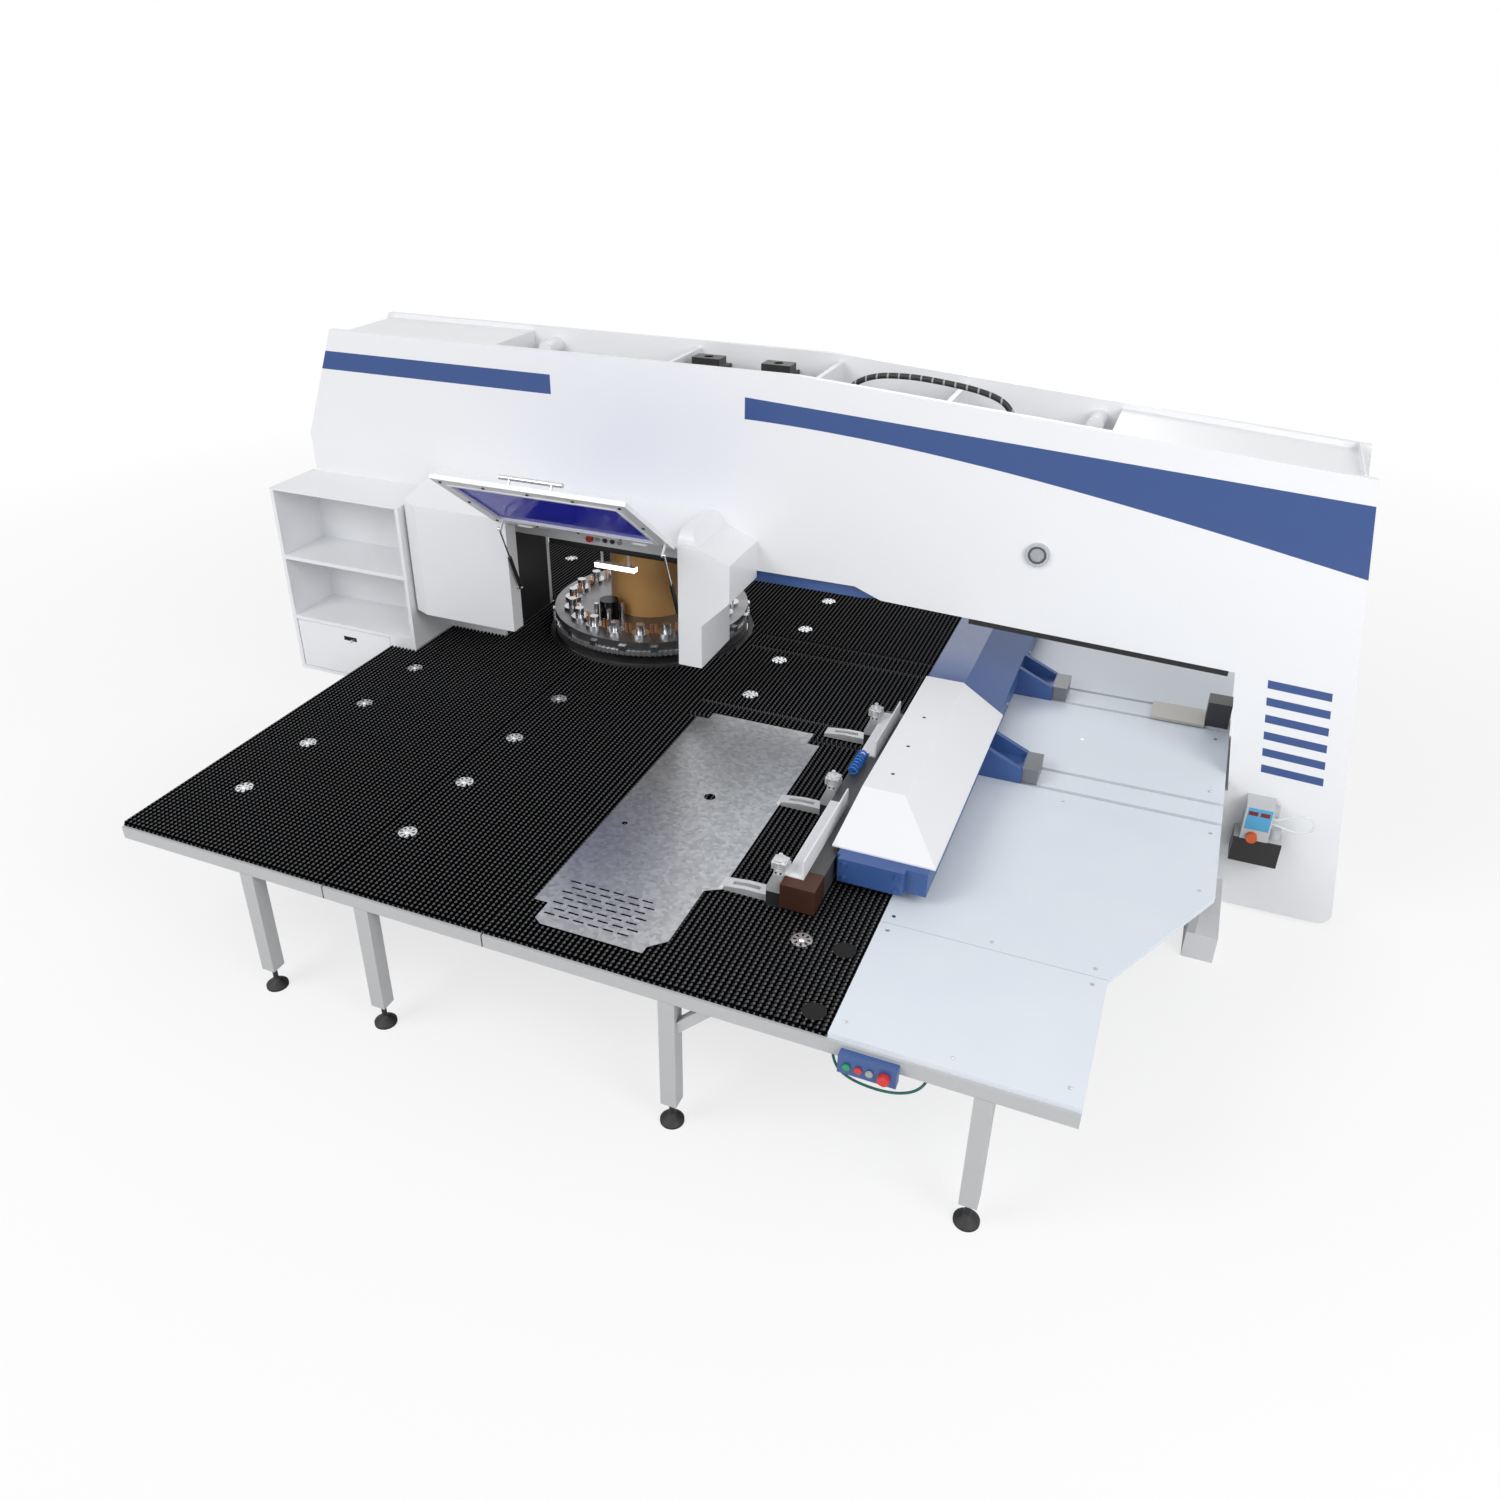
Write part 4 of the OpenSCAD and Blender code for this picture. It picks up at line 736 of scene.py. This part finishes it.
def copies(master, places, name, body, material):
    made = []
    for matrix in places:
        twin = master.copy()
        twin.data = master.data.copy()
        twin.data.transform(matrix)
        bpy.context.collection.objects.link(twin)
        made.append(twin)
    bpy.data.objects.remove(master)
    return settle(joined(made), name, body, material)


print("plates, screw heads and copies ready")

# %% [markdown]
# Each tool in the turret is lifted by springs. The solid has them as plain rods; here a small ring of wire
# is swept into a coil with the Screw modifier, once, and the coil is copied round the turret.

# %% Spring coils
spring_low, spring_high = (Vector(v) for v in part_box("tool_springs"))
turret_low, turret_high = (Vector(v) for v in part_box("upper_turret"))
turret_mid = (turret_low + turret_high) / 2
STATIONS, SPRING_RING, SPRING_SIDE = 20, 0.4446, 0.058
SPRING_R, WIRE_R, WIRE_SIDES, COILS, COIL_STEPS, WELD_M = 0.009, 0.0022, 8, 6, 14, 0.0001
spring_height = spring_high.z - spring_low.z
nothing_selected()
bpy.ops.mesh.primitive_circle_add(
    vertices=WIRE_SIDES, radius=WIRE_R, location=(SPRING_R - WIRE_R, 0, WIRE_R), rotation=(math.pi / 2, 0, 0)
)
spring = bpy.context.object
bpy.ops.object.transform_apply(location=True, rotation=True, scale=True)
sweep = spring.modifiers.new("sweep", "SCREW")
sweep.axis, sweep.angle, sweep.iterations = "Z", 2 * math.pi, COILS
sweep.screw_offset = (spring_height - 2 * WIRE_R) / COILS
sweep.steps = sweep.render_steps = COIL_STEPS
bpy.ops.object.modifier_apply(modifier=sweep.name)
bpy.ops.object.mode_set(mode="EDIT")
bpy.ops.mesh.select_all(action="SELECT")
bpy.ops.mesh.remove_doubles(threshold=WELD_M)
bpy.ops.mesh.fill_holes(sides=0)
bpy.ops.mesh.normals_make_consistent(inside=False)
bpy.ops.object.mode_set(mode="OBJECT")
spots = []
for station in range(STATIONS):
    for side in (-1, 1):
        turn = Matrix.Rotation(2 * math.pi * station / STATIONS, 4, "Z")
        spot = turn @ Vector((SPRING_RING, side * SPRING_SIDE, 0))
        spots.append(Matrix.Translation((turret_mid.x + spot.x, turret_mid.y + spot.y, spring_low.z)))
spring_coils = copies(spring, spots, "spring_coils", "turret", copper_wire)
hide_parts("tool_springs")

# %% [markdown]
# The hatch is screwed together from a frame and a window, so a row of black screws runs round its inner
# face. They are placed in the hatch's own slanted plane, along its length and width.

# %% Hatch screws
HATCH_OPEN = math.radians(127)
HATCH_LEN, HATCH_RIM = 0.622, 0.074
ROW_SHARES = (0.04, 0.27, 0.5, 0.73, 0.96)
HATCH_SCREW_R, HATCH_SCREW_H = 0.0075, 0.005
hinge = Vector((0, -0.654, 1.560))
hatch_left, hatch_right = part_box("hatch_frame")[0][0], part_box("hatch_frame")[1][0]
along = Vector((0, -math.sin(HATCH_OPEN), -math.cos(HATCH_OPEN)))
inner = Vector((0, math.cos(HATCH_OPEN), -math.sin(HATCH_OPEN)))
spots = []
for share in ROW_SHARES:
    across = hatch_left + (hatch_right - hatch_left) * share
    for reach in (HATCH_RIM / 2, HATCH_LEN - HATCH_RIM / 2):
        spots.append(Vector((across, 0, 0)) + hinge + along * reach)
for across in (hatch_left + HATCH_RIM / 2, hatch_right - HATCH_RIM / 2):
    spots.append(Vector((across, 0, 0)) + hinge + along * HATCH_LEN / 2)
hatch_screw = screw_head(HATCH_SCREW_R, HATCH_SCREW_H)
tilt = inner.to_track_quat("Z", "Y").to_matrix().to_4x4()
spots = [Matrix.Translation(spot) @ tilt for spot in spots]
copies(hatch_screw, spots, "hatch_screws", "hatch", black_plastic)

# %% [markdown]
# A black seal runs along the lower edge of the front plate behind the hatch, so that chips stay inside. It
# is a strip with soft edges.

# %% Hood seal
rail_low, rail_high = (Vector(v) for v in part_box("control_rail"))
SEAL_H, SEAL_T, SEAL_GAP, SEAL_EDGE = 0.030, 0.008, 0.002, 0.002
seal_top = rail_low.z - SEAL_GAP
seal = plate(
    (rail_low.x, FACE_Y - SEAL_T, seal_top - SEAL_H), (rail_high.x, FACE_Y, seal_top), SEAL_EDGE
)
settle(seal, "hood_seal", "frame", black_rubber)

# %% [markdown]
# A second seal lies round the turret and closes the gap between the brush boards and the turret. A circle of
# edges is extruded outward and gets its thickness from the Solidify modifier.

# %% Turret seal
WELL_IN, WELL_OUT, WELL_T, RING_SIDES = 0.565, 0.599, 0.007, 96
board_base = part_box("left_brush")[0][2]
well_at = (turret_mid.x, turret_mid.y, board_base + SKIN)
nothing_selected()
bpy.ops.mesh.primitive_circle_add(vertices=RING_SIDES, radius=WELL_IN, location=well_at, fill_type="NOTHING")
ring = bpy.context.object
bpy.ops.object.mode_set(mode="EDIT")
bpy.ops.mesh.select_all(action="SELECT")
bpy.ops.mesh.extrude_edges_move()
bpy.ops.transform.resize(value=(WELL_OUT / WELL_IN, WELL_OUT / WELL_IN, 1))
bpy.ops.mesh.select_all(action="SELECT")
bpy.ops.mesh.normals_make_consistent(inside=False)
bpy.ops.object.mode_set(mode="OBJECT")
wall = ring.modifiers.new("wall", "SOLIDIFY")
wall.thickness, wall.offset = WELL_T, 1 if ring.data.polygons[0].normal.z > 0 else -1
bpy.ops.object.modifier_apply(modifier=wall.name)
soften(ring, SEAL_EDGE)
settle(ring, "turret_seal", "frame", black_rubber)

# %% [markdown]
# The beam's shoes run in four long slots. At the bottom of each slot lies a near-black strip on the table's
# cross tubes: painted shade for the dark space under the slot.

# %% Painted shade in the slots
RAIL_YS, SLOT_OFF, SLOT_W = (-0.628, 0.240), 0.082, 0.022
SHADE_STRIP_X, SHADE_STRIP_T, SHADE_STRIP_EDGE = (-0.279, 2.255), 0.006, 0.001
# Each strip is painted shade: a near-black sheet where the slot would show the dark space below.
shade_strips = []
for rail_y in RAIL_YS:
    for y in (rail_y - SLOT_OFF, rail_y + SLOT_OFF):
        low = (SHADE_STRIP_X[0], y - SLOT_W / 2, board_base + SKIN / 2)
        shade_strips.append(plate(low, (SHADE_STRIP_X[1], y + SLOT_W / 2, low[2] + SHADE_STRIP_T), SHADE_STRIP_EDGE))
settle(joined(shade_strips), "slot_shade_strips", "frame", black_rubber)

# %% [markdown]
# The covers beside the beam are held down by small screws. They stay low, so that the beam's shoes pass
# over them.

# %% Cover screws
panel_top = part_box("cover_panels")[1][2]
PANEL_SCREWS = [
    (1.12, -2.50), (1.50, -2.52), (1.88, -2.50), (1.12, -1.97), (1.88, -1.97), (1.12, -1.88), (1.50, -1.88),
    (1.88, -1.88), (2.20, -1.24), (2.22, -0.80), (1.60, -0.80), (2.20, -0.45), (2.20, 0.06), (1.60, -0.20),
    (2.20, 0.45), (2.20, 1.10), (1.88, 1.88), (1.12, 1.97), (1.88, 1.97), (1.12, 2.50), (1.88, 2.50),
]
PANEL_SCREW_R, PANEL_SCREW_H = 0.008, 0.0015
panel_screw = screw_head(PANEL_SCREW_R, PANEL_SCREW_H)
spots = [Matrix.Translation((x, y, panel_top)) for x, y in PANEL_SCREWS]
copies(panel_screw, spots, "cover_screws", "frame", bright_steel)

# %% [markdown]
# On its inner face the hatch has a raised bead round the window, which clamps the pane. Four strips are
# made lying flat and are then swung into the hatch's plane.

# %% Window bead
swing = Matrix.Translation(hinge) @ Matrix.Rotation(math.pi - HATCH_OPEN, 4, "X")
BEAD_W, BEAD_T, BEAD_EDGE = 0.016, 0.006, 0.002
pane_left, pane_right = hatch_left + HATCH_RIM, hatch_right - HATCH_RIM
pane_low, pane_high = HATCH_RIM, HATCH_LEN - HATCH_RIM
BEADS = [
    (pane_left - BEAD_W, pane_right + BEAD_W, pane_low - BEAD_W, pane_low),
    (pane_left - BEAD_W, pane_right + BEAD_W, pane_high, pane_high + BEAD_W),
    (pane_left - BEAD_W, pane_left, pane_low, pane_high),
    (pane_right, pane_right + BEAD_W, pane_low, pane_high),
]
strips = []
for x0, x1, z0, z1 in BEADS:
    strip = plate((x0, -BEAD_T, z0), (x1, 0, z1), BEAD_EDGE)
    strip.data.transform(swing)
    strips.append(strip)
settle(joined(strips), "window_bead", "hatch", white_paint)

# %% [markdown]
# The clamps are bolted together, and the beam is bolted to its shoes. Small socket screws sit on top of
# each clamp and in a row along the beam's right face.

# %% Clamp and beam screws
CLAMP_RISE, CLAMP_YS = 0.022, (-1.956, -1.297, -0.638)
CLAMP_SCREWS = [(0.671, -0.045), (0.691, -0.045), (0.671, 0.045), (0.691, 0.045)]
clamp_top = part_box("carriage_bar")[1][2] + CLAMP_RISE
spots = [Matrix.Translation((x, y + dy, clamp_top)) for y in CLAMP_YS for x, dy in CLAMP_SCREWS]
CLAMP_SCREW_R, CLAMP_SCREW_H = 0.0045, 0.004
clamp_screw = screw_head(CLAMP_SCREW_R, CLAMP_SCREW_H)
copies(clamp_screw, spots, "clamp_screws", "carriage", black_plastic)
BEAM_FACE, BEAM_SCREW_Z = 1.216, 0.800
BEAM_SCREW_YS = [-0.36, -0.15, 0.48, 0.69, 0.90, 1.11, 1.32, 1.53]
sideways = Matrix.Rotation(math.pi / 2, 4, "Y")
spots = [Matrix.Translation((BEAM_FACE, y, BEAM_SCREW_Z)) @ sideways for y in BEAM_SCREW_YS]
BEAM_SCREW_R, BEAM_SCREW_H = 0.010, 0.006
beam_screw = screw_head(BEAM_SCREW_R, BEAM_SCREW_H)
copies(beam_screw, spots, "beam_screws", "beam", bright_steel)

# %% [markdown]
# The air cylinder on each clamp has cooling fins. One fin is a thin plate with rounded corners: a cube
# whose upright edges are bevelled. It is copied up the cylinder and then to the other clamps.

# %% Cylinder fins
FIN_AT_X, FIN_HALF, FIN_T, FIN_CORNER, CORNER_STEPS = 0.674, 0.030, 0.0035, 0.006, 3
FIN_LIFTS = (0.008, 0.016, 0.024, 0.032)
nothing_selected()
bpy.ops.mesh.primitive_cube_add(size=1, scale=(2 * FIN_HALF, 2 * FIN_HALF, FIN_T))
fin = bpy.context.object
bpy.ops.object.transform_apply(location=True, rotation=True, scale=True)
bpy.ops.object.mode_set(mode="EDIT")
bpy.ops.mesh.select_mode(type="EDGE")
bpy.ops.mesh.select_all(action="DESELECT")
bpy.ops.object.mode_set(mode="OBJECT")
for edge in fin.data.edges:
    ends = [fin.data.vertices[i].co for i in edge.vertices]
    edge.select = abs(ends[0].z - ends[1].z) > FIN_T / 2
bpy.ops.object.mode_set(mode="EDIT")
bpy.ops.mesh.bevel(offset=FIN_CORNER, segments=CORNER_STEPS)
bpy.ops.mesh.select_mode(type="FACE")
bpy.ops.object.mode_set(mode="OBJECT")
spots = [Matrix.Translation((FIN_AT_X, y, clamp_top + lift)) for y in CLAMP_YS for lift in FIN_LIFTS]
copies(fin, spots, "cylinder_fins", "carriage", aluminium)

# %% [markdown]
# Three holes run along the ridge of the beam's cover. A dark plug closes each of them: a disc with a dished
# face, set a little below the sheet.

# %% Ridge plugs
ridge_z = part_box("beam_cover")[1][2]
RIDGE_X, PLUG_YS = 0.942, (-1.335, -1.089, -0.811)
PLUG_R, PLUG_H, HOLE_DEPTH = 0.0085, 0.004, 0.006
plug = screw_head(PLUG_R, PLUG_H)
spots = [Matrix.Translation((RIDGE_X, y, ridge_z - HOLE_DEPTH)) for y in PLUG_YS]
copies(plug, spots, "ridge_plugs", "beam", black_plastic)

# %% [markdown]
# A key stays in the cabinet's lock. Its bow is a flat disc with softened edges, and a round shank joins it to
# the lock.

# %% Cabinet key
lock_low, lock_high = (Vector(v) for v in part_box("cabinet_lock"))
KEY_R, SHANK_R, KEY_OUT, KEY_SHARE = 0.010, 0.003, 0.016, 0.80
KEY_SIDES, BOW_SHARE, BOW_EDGE = 24, 0.8, 0.0009
key_at = (lock_low + lock_high) / 2
key_at.x, key_at.y = lock_low.x + (lock_high.x - lock_low.x) * KEY_SHARE, lock_low.y
nothing_selected()
shank_at = key_at - Vector((0, KEY_OUT / 2, 0))
bow_at = key_at - Vector((0, KEY_OUT + KEY_R * BOW_SHARE, 0))
bpy.ops.mesh.primitive_cylinder_add(
    vertices=KEY_SIDES, radius=SHANK_R, depth=KEY_OUT, location=shank_at, rotation=(math.pi / 2, 0, 0)
)
shank = bpy.context.object
bpy.ops.mesh.primitive_cylinder_add(
    vertices=KEY_SIDES, radius=KEY_R, depth=SHANK_R, location=bow_at, rotation=(0, math.pi / 2, 0)
)
bow = bpy.context.object
bpy.ops.object.transform_apply(location=True, rotation=True, scale=True)
soften(bow, BOW_EDGE)
settle(joined([bow, shank]), "cabinet_key", "door", bright_steel)

# %% [markdown]
# A plain pale floor, as in a studio. Near the machine the floor shows the shadow, and farther out it fades
# into the white of the background.

# %% Floor
bpy.ops.object.select_all(action="DESELECT")
FLOOR_M, FLOOR_WHITE, FADE_FROM, FADE_TO = 2000, 0.72, 3.5, 9.0
bpy.ops.mesh.primitive_plane_add(size=FLOOR_M, location=(0, 0, 0))
floor = bpy.context.object
floor.name = "floor"
floor_paint = bpy.data.materials.new("floor_paint")
floor_paint.use_nodes = True
floor_tree = floor_paint.node_tree
floor_base = Socket(floor_tree)
FLOOR_GREY, PURE_WHITE = (0.85, 0.85, 0.86, 1), (1, 1, 1, 1)
dull = floor_base.node("ShaderNodeBsdfDiffuse", None, {"Color": FLOOR_GREY})
glow = floor_base.node("ShaderNodeEmission", None, {"Color": PURE_WHITE, "Strength": 1.0})
rays = floor_base.node("ShaderNodeLightPath", out="Is Camera Ray")
floor_place = floor_base.node("ShaderNodeTexCoord", out="Object")
away = floor_base.node("ShaderNodeVectorMath", {"operation": "LENGTH"}, {0: floor_place}, out="Value")
fade = floor_base.math("MAXIMUM", (away - FADE_FROM) / (FADE_TO - FADE_FROM), 0.0)
white = floor_base.math("MINIMUM", fade, 1.0) * (1 - FLOOR_WHITE) + FLOOR_WHITE
pale = floor_base.node("ShaderNodeMixShader", None, {0: rays * white, 1: dull, 2: glow})
floor_tree.links.new(pale.out, floor_tree.nodes["Material Output"].inputs["Surface"])
floor.data.materials.append(floor_paint)
print("floor laid")

# %% [markdown]
# The world is white to the camera and dimmer as a light, so the background stays white while the panels
# keep their shading. Mirrors and glass see the white too.

# %% World
world = bpy.data.worlds.new("studio")
bpy.context.scene.world = world
world.use_nodes = True
sky = Socket(world.node_tree)
backdrop = world.node_tree.nodes["Background"]
path = world.node_tree.nodes.new("ShaderNodeLightPath")
RAYS = ("Is Camera Ray", "Is Glossy Ray", "Is Transmission Ray")
looks, mirrors, passes = (Socket(world.node_tree, path.outputs[ray]) for ray in RAYS)
seen = sky.math("MAXIMUM", sky.math("MAXIMUM", looks, mirrors), passes)
AMBIENT = 0.50
world.node_tree.links.new((seen * (1 - AMBIENT) + AMBIENT).out, backdrop.inputs["Strength"])
backdrop.inputs["Color"].default_value = PURE_WHITE
print("world set")

# %% [markdown]
# Three large round lamps give soft light: a key from the left, a fill from the right and one from behind.

# %% Lamps
LAMPS = {
    "key_lamp": ((-4.0, -7.0, 6.5), 340), "fill_lamp": ((6.0, -5.0, 5.0), 280),
    "back_lamp": ((0.0, 7.0, 6.0), 140),
}
AIM, DISK_M = Vector((0, 0, 0.8)), 5.0
for name, (at, watts) in LAMPS.items():
    turn = (AIM - Vector(at)).to_track_quat("-Z", "Y").to_euler()
    bpy.ops.object.light_add(type="AREA", location=at, rotation=turn)
    lamp = bpy.context.object
    lamp.name = name
    lamp.data.shape, lamp.data.size, lamp.data.energy = "DISK", DISK_M, watts
print("lamps", list(LAMPS))
